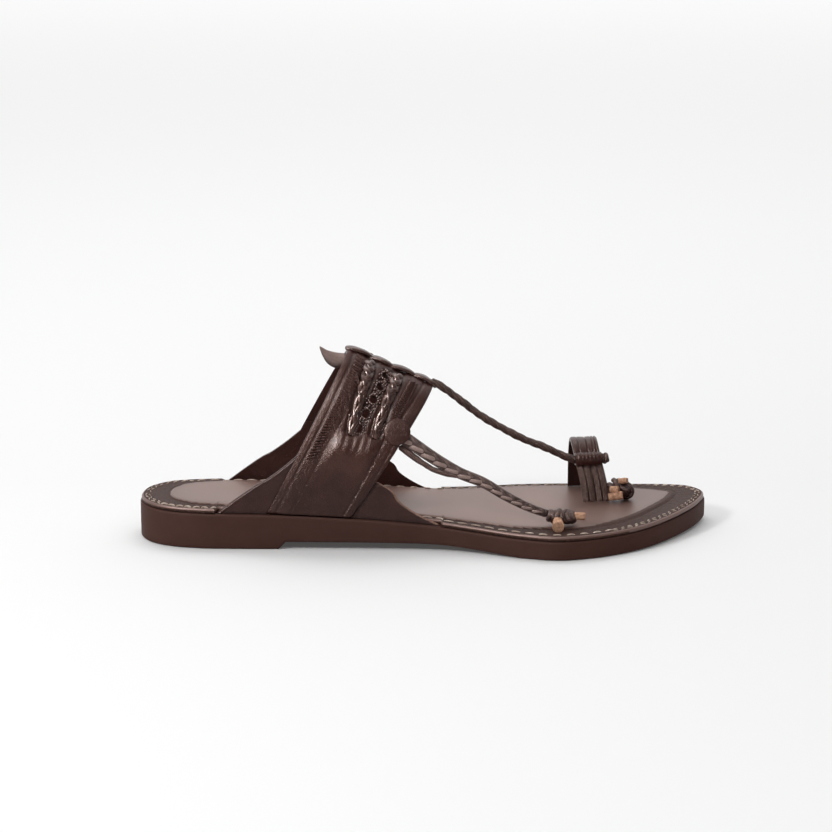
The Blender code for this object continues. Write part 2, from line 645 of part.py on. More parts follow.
def toe_cord(material):
    """The round cord from the ridge through the roll, which ends in a knob."""
    start = on_band(90, 1.0, 1, BAND_OUTSIDE + 2 * GAP) + CORD_START
    middle, way = roll_middle(), ring_way()
    entry = middle - way * (RING_WIDTH / 2 + 3)
    route = [start + (entry - start) * shares for shares in CORD_PATH]
    route += [entry, middle - way * (RING_WIDTH / 2), middle, middle + way * (RING_WIDTH / 2)]
    line = list(smooth(route, 34))
    exit_point = middle + way * (RING_WIDTH / 2 + GAP)
    line += [exit_point + way * KNOB_LENGTH * step for step in (0.0, 0.16, 0.5, 0.85, 1.0)]
    radii = [CORD_RADIUS * 0.75] + [CORD_RADIUS] * 34 + [KNOB_RADIUS * f for f in (0.85, 1.0, 0.85, 0.4)]

    def section(share, side, up):
        radius = radii[round(share * (len(line) - 1))]
        return oval(2 * radius, 2 * radius, side, up, 8)

    make_object("toe_cord", *sweep(line, section), material)


def knot_middle(place):
    x, y = place[0] * LENGTH, place[1] * BALL_WIDTH
    return np.array([x, y, pad_top(x) + GAP + KNOT_RADIUS])


def braid_line(count):
    root = on_band(BRAID_ROOT_ANGLE, 1.0, -1, BAND_OUTSIDE / 2) + BRAID_START
    end = knot_middle(SIDE_KNOT_PLACE) + np.array([-1.14, 0.0, 0.37]) * KNOT_RADIUS
    return smooth([root + (end - root) * shares for shares in BRAID_PATH], count)


def side_braid(material):
    """The braid from the band's front edge down to its knot, with lobed edges."""
    line = braid_line(30)

    def section(share, side, up):
        lobe = 1.0 if round(share * (len(line) - 1)) % 2 else 0.88
        width = BRAID_WIDTH_ROOT + share * (BRAID_WIDTH_END - BRAID_WIDTH_ROOT)
        return oval(BRAID_THICKNESS * (1 - 0.2 * share), width * lobe, side, up, 8)

    make_object("side_braid", *sweep(line, section), material)


def side_strand(material):
    """The thin strand under the root of the side braid."""
    line = braid_line(30)[:9]
    drop = BRAID_WIDTH_ROOT / 2 + STRAND_RADIUS + GAP
    rings = []
    for i, point in enumerate(line):
        ahead = line[min(i + 1, 8)] - line[max(i - 1, 0)]
        ahead /= np.linalg.norm(ahead)
        side = np.cross((0, 0, 1), ahead)
        side /= np.linalg.norm(side)
        up = np.cross(ahead, side)
        sag = 0.9 * math.sin(math.pi * i / 8)
        rings.append(point - up * (drop + sag) + oval(2 * STRAND_RADIUS, 2 * STRAND_RADIUS, side, up, 6))
    make_object("side_strand", *loft(rings), material)


def ball(middle, radii, turns=8):
    """A round lump with its poles along x."""
    rings = []
    for step in range(1, turns):
        turn = math.pi * step / turns
        side = np.array([0, 2 * radii[1] * math.sin(turn), 0])
        up = np.array([0, 0, 2 * radii[2] * math.sin(turn)])
        rings.append(middle - (radii[0] * math.cos(turn), 0, 0) + oval(1, 1, side, up, 10))
    return loft(rings)


def peg(start, end, radius):
    """A short round end of a thong."""
    ahead = (end - start) / np.linalg.norm(end - start)
    side = np.cross((0, 0, 1), ahead)
    side /= np.linalg.norm(side)
    return loft([at + oval(2 * radius, 2 * radius, side, np.cross(ahead, side), 8) for at in (start, end)])


def knot(name, place, lumps, ends, material):
    """A knot of round lumps and raw ends, in one solid."""
    middle = knot_middle(place)
    size = KNOT_RADIUS
    bodies = [ball(middle + size * np.array(at), size * np.array(radii)) for at, radii in lumps]
    bodies += [peg(middle + size * np.array(start), middle + size * np.array(end), size * radius)
               for start, end, radius in ends]
    made = make_object(name, *bodies[0], material)
    for i, body in enumerate(bodies[1:]):
        boolean(made, make_object(f"{name}_part_{i}", *body, material, helper=True), "UNION")


def main():
    for old in list(bpy.data.objects):
        bpy.data.objects.remove(old)
    rubber = leather("sole", (0.062, 0.033, 0.027), 0.6)
    footbed = leather("footbed", (0.055, 0.038, 0.034), 0.45)
    strap = leather("strap", (0.035, 0.018, 0.015), 0.42)
    cord = leather("cord", (0.045, 0.026, 0.022), 0.5)
    raw = leather("raw_leather", (0.19, 0.11, 0.075), 0.7)
    outsole(rubber)
    insole(footbed)
    upper(strap)
    for side in (-1, 1):
        for which in PLAITS:
            plait(which, side, strap)
    side_disc(strap)
    spine_thong(strap)
    tail_leaf(strap)
    toe_ring(strap)
    toe_cord(cord)
    side_braid(cord)
    side_strand(cord)
    knot("knot_side", SIDE_KNOT_PLACE, SIDE_KNOT_LUMPS, SIDE_KNOT_ENDS, raw)
    knot("knot_toe", TOE_KNOT_PLACE, TOE_KNOT_LUMPS, TOE_KNOT_ENDS, raw)


main()
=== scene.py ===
"""The finished look of a leather kolhapuri sandal for the right foot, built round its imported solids.

Points are worked out in millimetres from the back of the heel: x runs to the toe, y to the big toe's side
and z up from the ground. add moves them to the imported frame, in metres about the middle of the length.
"""

import functools
import json
import math

import bmesh
import bpy
import numpy as np
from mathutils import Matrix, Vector

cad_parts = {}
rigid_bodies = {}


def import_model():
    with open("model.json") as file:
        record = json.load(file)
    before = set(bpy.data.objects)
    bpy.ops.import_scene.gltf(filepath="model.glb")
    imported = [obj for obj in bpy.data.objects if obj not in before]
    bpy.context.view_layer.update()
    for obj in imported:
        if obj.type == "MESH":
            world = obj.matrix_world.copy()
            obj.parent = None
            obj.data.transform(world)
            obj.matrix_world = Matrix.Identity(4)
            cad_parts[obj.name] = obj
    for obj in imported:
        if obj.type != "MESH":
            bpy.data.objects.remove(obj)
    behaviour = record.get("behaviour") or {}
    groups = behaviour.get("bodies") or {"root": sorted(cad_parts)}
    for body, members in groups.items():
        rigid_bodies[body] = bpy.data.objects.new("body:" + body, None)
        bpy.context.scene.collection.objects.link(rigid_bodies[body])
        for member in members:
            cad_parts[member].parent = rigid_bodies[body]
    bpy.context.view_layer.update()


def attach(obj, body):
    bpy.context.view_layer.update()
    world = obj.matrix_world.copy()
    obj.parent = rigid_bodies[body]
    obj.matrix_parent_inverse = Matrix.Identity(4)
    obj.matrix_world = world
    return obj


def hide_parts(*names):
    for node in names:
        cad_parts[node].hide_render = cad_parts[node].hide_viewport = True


MM = 0.001
GAP = 0.3

# Sole
LENGTH = 286.0
BALL_WIDTH = 101.5
HEEL_HEIGHT = 18.1
HEEL_LIFT = 3.6
BREAST_PLACE = 70.5
BREAST_SLOPE = 3.5
TOE_SPRING = 2.0
TOE_SPRING_START = 0.79
TREAD_DEPTH = 1.2
TREAD_BAR = 2.6
TREAD_PITCH = 9.5
TREAD_MARGIN = 9.0

# Insole
INSOLE_THICKNESS = 2.3
INSOLE_INSET = 0.6
PAD_RAISE = 0.7

# Arch band and ears
BAND_REAR = 64.5
BAND_WIDTH = 42.0
RIDGE_HEIGHT_REAR = 91.5
RIDGE_HEIGHT_FRONT = 72.6
LEAN_REAR = 0.52
LEAN_FRONT = 0.67
RIDGE_FULLNESS = 0.87
EAR_WALL = 2.2
BAND_INSIDE = 1.0
BAND_OUTSIDE = 4.0
BAND_RISE = 0.5
EAR_REACH_REAR = 24.5
EAR_REACH_FRONT = 43.5
EAR_HEIGHT_REAR = 28.8
EAR_HEIGHT_FRONT = 17.7
EAR_TOP = 34.0
HOLE_RADIUS = 2.1

# Toe ring, cords and knots
CORD_RADIUS = 2.0
RING_PLACE = 0.7815 * LENGTH
RING_NEAR_SIDE = 0.123 * BALL_WIDTH
RING_FAR_SIDE = 0.4286 * BALL_WIDTH
RING_HEIGHT = 29.0
RING_WIDTH = 13.5
RING_WALL = 2.2
RING_LEAN = 6.5
RING_YAW = 10.0
ROLL_RADIUS = 3.5
ROLL_HEIGHT = 21.3
BRAID_WIDTH_ROOT = 7.0
BRAID_WIDTH_END = 4.0
STRAND_RADIUS = 1.2
KNOT_RADIUS = 4.3

OUTLINE = (
    (0.000, 0.000), (0.007, -0.110), (0.028, -0.197), (0.063, -0.256), (0.112, -0.289), (0.175, -0.299),
    (0.262, -0.302), (0.353, -0.307), (0.444, -0.317), (0.521, -0.332), (0.580, -0.372), (0.664, -0.458),
    (0.725, -0.499), (0.776, -0.470), (0.836, -0.392), (0.893, -0.268), (0.953, -0.060), (0.987, 0.110),
    (1.000, 0.266), (0.977, 0.390), (0.944, 0.438), (0.874, 0.478), (0.745, 0.500), (0.664, 0.476),
    (0.594, 0.408), (0.524, 0.336), (0.420, 0.305), (0.315, 0.300), (0.164, 0.306), (0.126, 0.292),
    (0.080, 0.271), (0.042, 0.232), (0.010, 0.130),
)
WALL_HEIGHTS = (
    (0.0, 1.0), (0.25, 0.95), (0.35, 0.88), (0.44, 0.79), (0.52, 0.68), (0.58, 0.597), (0.66, 0.53),
    (1.0, 0.53),
)
SHANK_HEIGHTS = ((0.26, 1.0), (0.52, 0.85), (0.60, 0.4), (0.66, 0.0))
EAR_REAR_EDGE = ((0.0, 1.0), (0.5, 0.47), (0.58, 0.35), (0.8, 0.14), (1.0, 0.0))
EAR_FRONT_EDGE = ((0.0, 1.0), (0.22, 0.68), (0.53, 0.38), (0.75, 0.26), (1.0, 0.02))
HOLES = ((37.0, 0.482), (45.0, 0.473), (54.0, 0.47), (63.3, 0.472), (73.5, 0.475))
PLAITS = {
    "rear": ((78.5, 0.265), (52.5, 0.33), (33.7, 0.422)),
    "front": ((76.5, 0.593), (53.5, 0.616), (35.0, 0.687)),
}
DISC_PLACE = (40.8, 0.882)
DISC_RADIUS = 6.6
BRAID_ROOT_ANGLE = 38.8
LEAF_LENGTH = 12.5
LEAF_DEPTH = 7.4
LEAF_PROFILE = (
    (0.0, 0.0, -0.80), (0.33, 0.06, -1.0), (0.66, 0.20, -0.74), (0.9, 0.42, -0.12), (1.0, 0.5, 0.36),
)
RING_PATH = (
    (0.00, 0.00, 1.00), (0.02, 0.30, 0.78), (0.07, 0.62, 0.45), (0.16, 0.86, 0.22), (0.32, 0.98, 0.10),
    (0.52, 1.00, 0.05), (0.76, 0.92, 0.02), (0.93, 0.68, 0.0), (1.00, 0.35, 0.0), (0.99, 0.00, 0.0),
)
CORD_PATH = (
    (0.0, 0.0, 0.0), (0.145, 0.15, 0.18), (0.3, 0.3, 0.38), (0.486, 0.456, 0.566), (0.659, 0.647, 0.721),
    (0.777, 0.761, 0.801), (0.923, 0.94, 0.88),
)
BRAID_PATH = (
    (0.0, 0.0, 0.0), (0.22, 0.30, 0.28), (0.38, 0.48, 0.45), (0.55, 0.62, 0.58), (0.71, 0.78, 0.76),
    (0.87, 0.92, 0.91), (1.0, 1.0, 1.0),
)
SIDE_KNOT_PLACE = (0.7255, -0.3153)
TOE_KNOT_PLACE = (0.8427, 0.138)
# Width of the dark border round the insole's pad: place along the sole, little toe's side, big toe's side
PAD_BORDERS = (
    (0, 15.0, 15.0), (12, 13.0, 13.0), (25, 9.8, 9.0), (45, 8.5, 7.2), (130, 8.5, 6.5), (155, 8.7, 6.5),
    (183, 11.0, 6.5), (203, 15.0, 6.8), (228, 12.8, 7.2), (245, 12.7, 8.0), (260, 14.0, 11.0),
    (270, 15.0, 13.5), (286, 15.5, 15.5),
)


# Curves and surfaces

def smooth(points, count, closed=False):
    """A centripetal Catmull-Rom curve through the points, sampled at count even parameters."""
    points = np.asarray(points, float)
    if closed:
        ring = np.vstack([points[-1:], points, points[:2]])
    else:
        ring = np.vstack([2 * points[0] - points[1], points, 2 * points[-1] - points[-2]])
    steps = np.linalg.norm(np.diff(ring, axis=0), axis=1) ** 0.5
    knots = np.concatenate([[0.0], np.cumsum(steps)])
    t = np.linspace(knots[1], knots[-2], count, endpoint=not closed)
    i = np.clip(np.searchsorted(knots, t, side="right") - 1, 1, len(ring) - 3)
    k = [knots[i + j - 1][:, None] for j in range(4)]
    p = [ring[i + j - 1] for j in range(4)]
    t = t[:, None]
    a = [((k[j + 1] - t) * p[j] + (t - k[j]) * p[j + 1]) / (k[j + 1] - k[j]) for j in range(3)]
    b = [((k[j + 2] - t) * a[j] + (t - k[j]) * a[j + 1]) / (k[j + 2] - k[j]) for j in range(2)]
    return ((k[2] - t) * b[0] + (t - k[1]) * b[1]) / (k[2] - k[1])


def unit(vectors):
    """The vectors scaled to length 1."""
    return vectors / np.linalg.norm(vectors, axis=-1, keepdims=True)


def run_along(line):
    """How far along the line each of its points lies."""
    return np.concatenate([[0.0], np.cumsum(np.linalg.norm(np.diff(line, axis=0), axis=1))])


def read_line(line, run, at):
    """The line's values where its run reaches these numbers."""
    return np.stack([np.interp(at, run, line[:, i]) for i in range(line.shape[1])], -1)


def even(line, count):
    """The line resampled at count places evenly spaced along it."""
    line = np.asarray(line, float)
    run = run_along(line)
    return read_line(line, run, np.linspace(0, run[-1], count))


def turns_of(count):
    """count angles spaced evenly round a circle."""
    return np.linspace(0, 2 * math.pi, count, endpoint=False)


def hump(off, width):
    """A smooth bell, 1 in its middle and about 0.37 at the width."""
    return np.exp(-(off / width) ** 2)


@functools.cache
def curve(rows, along, height):
    return smooth(np.array(rows) * (along, height), 12 * len(rows))


def table(rows, along, height, at):
    """Reads the smooth line of a table of shares at a place."""
    line = curve(rows, along, height)
    return np.interp(at, line[:, 0], line[:, 1])


@functools.cache
def dense_outline():
    ring = smooth(np.array(OUTLINE) * (LENGTH, BALL_WIDTH), 2400, closed=True)
    return np.roll(ring, -int(ring[:, 0].argmin()), axis=0)


@functools.cache
def outline(inset):
    """The sole's outline pulled in by inset: its little toe's side and its big toe's side, heel to toe."""
    ring = dense_outline()
    ring = ring + inset * inward(ring)
    ring = np.roll(ring, -int(ring[:, 0].argmin()), axis=0)
    toe = int(ring[:, 0].argmax())
    return ring[:toe + 1], np.vstack([ring[toe:], ring[:1]])[::-1]


def inward(ring):
    """The direction into a closed outline at each of its points."""
    along = unit(np.roll(ring, -1, axis=0) - np.roll(ring, 1, axis=0))
    return np.column_stack([-along[:, 1], along[:, 0]])


@functools.cache
def rim(count):
    """count points round the outline, half of them on each side, and their inward directions."""
    ring = dense_outline()
    toe = int(ring[:, 0].argmax())
    half = count // 2
    little = even(ring[:toe + 1], half + 1)
    big = even(np.vstack([ring[toe:], ring[:1]]), half + 1)
    points = np.vstack([little[:-1], big[:-1]])
    return points, inward(points)


def edges(x, inset=0.0):
    """Where the outline crosses the place x: y on the little toe's side and on the big toe's side."""
    little, big = outline(inset)
    return np.interp(x, little[:, 0], little[:, 1]), np.interp(x, big[:, 0], big[:, 1])


def spring(x):
    start = TOE_SPRING_START * LENGTH
    return TOE_SPRING * np.maximum(0.0, (x - start) / (LENGTH - start)) ** 2


def wall_top(x):
    """The height of the rubber wall's top edge."""
    return table(WALL_HEIGHTS, LENGTH, HEEL_HEIGHT, x) + spring(x)


def underside(x):
    """The height of the sole's underside, which lifts at the shank and the toe."""
    shank = np.maximum(0.0, table(SHANK_HEIGHTS, LENGTH, HEEL_LIFT, x))
    breast = np.clip(HEEL_LIFT * (x - BREAST_PLACE) / BREAST_SLOPE, 0.0, HEEL_LIFT)
    return np.minimum(breast, shank) + spring(x)


def insole_top(x):
    return wall_top(x) + GAP + INSOLE_THICKNESS


def pad_top(x):
    return insole_top(x) + PAD_RAISE


def on_last(place, angle, side, offset):
    """Points on the last that shapes the arch: place along the sole's edge, angle up the arch from 0 at the
    base to 90 at the ridge, side -1 for the little toe's and 1 for the big toe's, offset outwards."""
    place, angle, side, offset = np.broadcast_arrays(
        *(np.asarray(value, float) for value in (place, angle, side, offset)))
    share = (place - BAND_REAR) / BAND_WIDTH
    base = wall_top(place) + GAP
    height = RIDGE_HEIGHT_REAR + share * (RIDGE_HEIGHT_FRONT - RIDGE_HEIGHT_REAR) - base
    lean = LEAN_REAR + share * (LEAN_FRONT - LEAN_REAR)
    little, big = edges(place, BAND_OUTSIDE + GAP)
    half = (big - little) / 2
    turn = np.radians(angle)
    rise = np.maximum(np.sin(turn), 1e-4)
    slope = np.stack([height * RIDGE_FULLNESS * np.cos(turn), half * rise ** (2 - RIDGE_FULLNESS)])
    slope /= np.linalg.norm(slope, axis=0)
    across = half * np.cos(turn) + offset * slope[0]
    up = height * rise ** RIDGE_FULLNESS + offset * slope[1]
    middle = (big + little) / 2 * (1 - up / height)
    return np.stack([place + lean * up, middle + side * across, base + up], -1)


def angle_at(place, up):
    """The arch angle where the last stands up above its base."""
    share = (place - BAND_REAR) / BAND_WIDTH
    ridge = RIDGE_HEIGHT_REAR + share * (RIDGE_HEIGHT_FRONT - RIDGE_HEIGHT_REAR)
    height = ridge - wall_top(place) - GAP
    return np.degrees(np.arcsin(np.minimum(1.0, (up / height) ** (1 / RIDGE_FULLNESS))))


def on_band(angle, share, side, offset):
    return on_last(BAND_REAR + np.asarray(share, float) * BAND_WIDTH, angle, side, offset)


def out_of_band(angle, share, side):
    return unit(on_band(angle, share, side, BAND_OUTSIDE + 1) - on_band(angle, share, side, BAND_OUTSIDE))


def beside(angle, share, side, ahead, up):
    """The arch angles and shares of BAND_WIDTH a few millimetres ahead of and above a place on the band."""
    middle = on_band(angle, share, side, BAND_OUTSIDE)
    by_angle = on_band(angle + 1, share, side, BAND_OUTSIDE) - middle
    by_share = on_band(angle, share + 0.1, side, BAND_OUTSIDE) - middle
    forward = unit(by_share)
    upward = unit(by_angle - forward * by_angle.dot(forward))
    target = np.multiply.outer(np.asarray(ahead, float), forward)
    target = target + np.multiply.outer(np.asarray(up, float), upward)
    shape = target.shape[:-1]
    basis = np.column_stack([by_angle, by_share])
    steps = np.linalg.lstsq(basis, target.reshape(-1, 3).T, rcond=None)[0]
    return angle + steps[0].reshape(shape), share + 0.1 * steps[1].reshape(shape)


# Meshes

def add(name, points, faces, material, replaces=(), sharp=None, tone=None, extra=None):
    """A piece of the sandal from points in millimetres. tone is a shade for each point from 0 to 1, and extra
    the number of each face's material."""
    points = np.asarray(points, float)
    world = (points - (LENGTH / 2, 0, 0)) * MM
    mesh = bpy.data.meshes.new(name)
    faces = faces.tolist() if isinstance(faces, np.ndarray) else [[int(i) for i in face] for face in faces]
    mesh.from_pydata(world.tolist(), [], faces)
    shell = bmesh.new()
    shell.from_mesh(mesh)
    bmesh.ops.recalc_face_normals(shell, faces=shell.faces)
    shell.to_mesh(mesh)
    shell.free()
    mesh.shade_smooth()
    if sharp:
        mesh.set_sharp_from_angle(angle=math.radians(sharp))
    layer = mesh.attributes.new("tone", "FLOAT", "POINT")
    shades = np.full(len(points), 0.5) if tone is None else np.asarray(tone, float).ravel()
    layer.data.foreach_set("value", shades)
    made = bpy.data.objects.new(name, mesh)
    bpy.context.scene.collection.objects.link(made)
    for each in material if isinstance(material, list) else [material]:
        mesh.materials.append(each)
    if extra is not None:
        mesh.polygons.foreach_set("material_index", np.asarray(extra, np.int32))
    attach(made, "root")
    if replaces:
        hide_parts(*replaces)
    return made


def add_parts(name, parts, material, replaces=(), sharp=None, tone=(0.5, 0.0, 1.0), lumps=None):
    """A piece joined from several parts. tone is the middle and swing of its uneven shade and the size of its
    patches. lumps is how far its points shift, the lumps' size, and their shares along x, y and z."""
    points, faces = join(parts)
    if lumps:
        height, size, shares = lumps
        points = points + height * ripple(points, size)[:, None] * np.array(shares)
    middle, swing, patch = tone
    return add(name, points, faces, material, replaces, sharp, middle + swing * ripple(points, patch))


def numbered(rows, columns):
    return np.arange(rows * columns).reshape(rows, columns)


def grid_quads(index):
    return np.stack([index[:-1, :-1], index[1:, :-1], index[1:, 1:], index[:-1, 1:]], -1).reshape(-1, 4)


def tube_faces(index, capped=True):
    """Quads round a tube whose rings are the rows of index, and its two flat ends if it is capped."""
    sides = grid_quads(np.column_stack([index, index[:, :1]])).tolist()
    return sides + [index[0].tolist(), index[-1][::-1].tolist()] if capped else sides


def shell_of(outer, inner, keep=None):
    """Points and quads of a wall between two grids, closed along every edge, which quads are its edges, and
    which of the grids' points are used."""
    rows, columns = outer.shape[:2]
    count = rows * columns
    quads = grid_quads(numbered(rows, columns))
    if keep is not None:
        quads = quads[keep.ravel()]
    starts = quads.ravel()
    ends = np.roll(quads, -1, axis=1).ravel()
    open_edge = ~np.isin(starts * count + ends, ends * count + starts)
    a, b = starts[open_edge], ends[open_edge]
    walls = np.stack([b, a, a + count, b + count], -1)
    faces = np.vstack([quads, quads[:, ::-1] + count, walls])
    points = np.vstack([outer.reshape(-1, 3), inner.reshape(-1, 3)])
    is_wall = np.arange(len(faces)) >= 2 * len(quads)
    used, faces = np.unique(faces, return_inverse=True)
    return points[used], faces.reshape(-1, 4), is_wall, used


def join(parts):
    """One set of points and faces from several."""
    points, faces, count = [], [], 0
    for more, sides in parts:
        points.append(np.asarray(more, float))
        faces += [[int(i) + count for i in side] for side in sides]
        count += len(more)
    return np.vstack(points), faces


def directions(path):
    return unit(np.gradient(path, axis=0))


def strand(path, wide, thick, face, count=10, cap=0.6, square=1.0):
    """A rounded strip along a path. face is the direction of its thickness, cap the length of its rounded
    ends in half widths, and square below 1 makes its section squarer."""
    path = np.asarray(path, float)
    total = len(path)
    ahead = directions(path)
    side = unit(np.cross(np.broadcast_to(np.asarray(face, float), path.shape), ahead))
    up = np.cross(ahead, side)
    wide, thick = (np.broadcast_to(np.asarray(size, float), (total,)) / 2 for size in (wide, thick))
    turn = turns_of(count)
    cos, sin = (np.sign(wave) * np.abs(wave) ** square for wave in (np.cos(turn), np.sin(turn)))

    def ring(i, scale, shift):
        return (path[i] + ahead[i] * shift + scale * (wide[i] * cos[:, None] * side[i]
                                                      + thick[i] * sin[:, None] * up[i]))

    def end(i, degrees, way):
        turned = math.radians(degrees)
        return ring(i, math.cos(turned), way * cap * min(wide[i], thick[i] * 2) * math.sin(turned))

    slopes = (80, 55, 25) if cap else ()
    rings = [end(0, degrees, -1) for degrees in slopes]
    rings += [ring(i, 1.0, 0.0) for i in range(total)]
    rings += [end(-1, degrees, 1) for degrees in reversed(slopes)]
    return np.vstack(rings), tube_faces(numbered(len(rings), count))


def loop(path, wide, thick, axis, count=8):
    """A strand closed on itself, with its width along the axis."""
    path = np.asarray(path, float)
    ahead = unit(np.roll(path, -1, axis=0) - np.roll(path, 1, axis=0))
    up = unit(np.cross(unit(np.asarray(axis, float)), ahead))
    side = np.cross(ahead, up)
    turn = turns_of(count)
    rings = (path[:, None] + wide / 2 * np.cos(turn)[None, :, None] * side[:, None]
             + thick / 2 * np.sin(turn)[None, :, None] * up[:, None])
    index = numbered(len(path), count)
    return rings.reshape(-1, 3), tube_faces(np.vstack([index, index[:1]]), capped=False)


def bead(middle, radii, out, ahead, rows=5, count=8):
    """A small round lump: radii along ahead, across it and outwards."""
    out = unit(out)
    across = unit(np.cross(out, ahead))
    ahead = np.cross(across, out)
    around = turns_of(count)
    edge = radii[1] * np.cos(around)[:, None] * across + radii[2] * np.sin(around)[:, None] * out
    turns = math.pi * np.arange(1, rows) / rows
    points = [middle - radii[0] * math.cos(turn) * ahead + math.sin(turn) * edge for turn in turns]
    return np.vstack(points), tube_faces(numbered(rows - 1, count))


def step(low, high, at):
    """0 below low, 1 above high and smooth between."""
    share = np.clip((np.asarray(at, float) - low) / (high - low), 0.0, 1.0)
    return share * share * (3 - 2 * share)


def ripple(points, size, seed=0.0):
    """A smooth uneven field between about -1 and 1, with lumps of about the size."""
    x, y, z = np.moveaxis(np.asarray(points, float), -1, 0) / size
    return (np.sin(x * 1.7 + 2.1 * np.sin(y * 1.3 + seed) + z * 0.9)
            + np.sin(y * 2.3 + 1.7 * np.sin(z * 1.9 + seed * 1.7) - x * 0.7)
            + np.sin(z * 2.9 + 1.9 * np.sin(x * 1.1 - seed) + y * 1.3)) / 3


# Materials

CELLS_PER_METRE = 1000.0
WARP_CELLS = 0.42
SPECK_SIZE = 0.45
PORE_SIZE = 0.22
WARM_TINT = (1.0, 0.72, 0.65, 1.0)
FINISHES = {
    "rubber": dict(
        dark=(0.046, 0.0175, 0.0130), light=(0.062, 0.026, 0.0195), rough=(0.6, 0.78), grain=0.5,
        depth=0.02, fine=0.06, mottle=14, tone=0.2, specular=0.2),
    "footbed": dict(
        dark=(0.032, 0.014, 0.011), light=(0.212, 0.128, 0.107), rough=(0.36, 0.48), grain=0.7,
        depth=0.035, fine=0.03, mottle=26, tone=0.85, specular=0.65, coat=0.08),
    "footbed_border": dict(
        dark=(0.018, 0.0065, 0.005), light=(0.115, 0.058, 0.044), rough=(0.45, 0.65), grain=0.9,
        depth=0.2, fine=0.08, mottle=1.3, tone=0.5, specular=0.2),
    "strap": dict(
        dark=(0.012, 0.0030, 0.0023), light=(0.064, 0.021, 0.0155), rough=(0.3, 0.42), grain=1.0,
        depth=0.09, fine=0.035, mottle=12, tone=0.65, specular=0.32, coat=0.12, coat_rough=0.27),
    "plait": dict(
        dark=(0.010, 0.0030, 0.0023), light=(0.085, 0.036, 0.028), rough=(0.2, 0.32), grain=0.6,
        depth=0.03, fine=0.02, mottle=3, tone=0.55, specular=0.6, coat=0.35, coat_rough=0.16),
    # The braid's pale light colour is partly a painted highlight on its facets and on the leaf's face
    "braid": dict(
        dark=(0.012, 0.0045, 0.0036), light=(0.330, 0.232, 0.207), rough=(0.3, 0.45), grain=0.6,
        depth=0.07, fine=0.06, mottle=4, tone=0.85, coat=0.15, coat_rough=0.28),
    "cord": dict(
        dark=(0.010, 0.0036, 0.0028), light=(0.095, 0.048, 0.038), rough=(0.34, 0.5), grain=0.6,
        depth=0.12, fine=0.09, mottle=3, tone=0.55, coat=0.12, coat_rough=0.28),
    "coarse_grain": dict(
        dark=(0.012, 0.0045, 0.0034), light=(0.150, 0.088, 0.072), rough=(0.35, 0.55), grain=0.9,
        depth=0.22, fine=0.08, mottle=1.2, tone=0.4, coat=0.15, coat_rough=0.3),
    "raw_leather": dict(
        dark=(0.30, 0.14, 0.085), light=(0.85, 0.52, 0.34), rough=(0.7, 0.9), grain=0.6, depth=0.14,
        fine=0.14, mottle=1.2, tone=0.3, specular=0.2),
    "raw_edge": dict(
        dark=(0.13, 0.055, 0.038), light=(0.52, 0.30, 0.22), rough=(0.65, 0.9), grain=0.5, depth=0.10,
        fine=0.12, mottle=1.4, tone=0.3, specular=0.2),
    "thread": dict(
        dark=(0.22, 0.14, 0.10), light=(0.80, 0.68, 0.58), rough=(0.6, 0.85), grain=0.4, depth=0.05,
        fine=0.1, mottle=2.0, tone=0.5, specular=0.2),
}


def ranged(tree, value, *limits):
    """The value mapped from one range to another: its low, its high, and what these become."""
    new = tree.nodes.new("ShaderNodeMapRange")
    tree.links.new(value, new.inputs["Value"])
    for key, number in zip(("From Min", "From Max", "To Min", "To Max"), limits):
        new.inputs[key].default_value = number
    return new.outputs["Result"]


def maths(tree, kind, first, second):
    new = tree.nodes.new("ShaderNodeMath")
    new.operation = kind
    for socket, value in zip(new.inputs, (first, second)):
        if isinstance(value, (int, float)):
            socket.default_value = value
        else:
            tree.links.new(value, socket)
    return new.outputs["Value"]


def noise(tree, source, scale, detail=2.0, rough=0.5):
    new = tree.nodes.new("ShaderNodeTexNoise")
    for key, number in (("Scale", scale), ("Detail", detail), ("Roughness", rough)):
        new.inputs[key].default_value = number
    tree.links.new(source, new.inputs["Vector"])
    return new.outputs


def pebbles(tree, source, grain):
    """The height of a leather grain: rounded cells with wandering edges."""
    warp = noise(tree, source, WARP_CELLS * CELLS_PER_METRE / grain)["Color"]
    shift = tree.nodes.new("ShaderNodeVectorMath")
    shift.operation = "MULTIPLY_ADD"
    shift.inputs[1].default_value = (grain * MM * 1.2,) * 3
    tree.links.new(warp, shift.inputs[0])
    tree.links.new(source, shift.inputs[2])
    cells = tree.nodes.new("ShaderNodeTexVoronoi")
    cells.feature = "DISTANCE_TO_EDGE"
    cells.inputs["Scale"].default_value = CELLS_PER_METRE / grain
    tree.links.new(shift.outputs["Vector"], cells.inputs["Vector"])
    return ranged(tree, cells.outputs["Distance"], 0.0, 0.35, 0.0, 1.0)


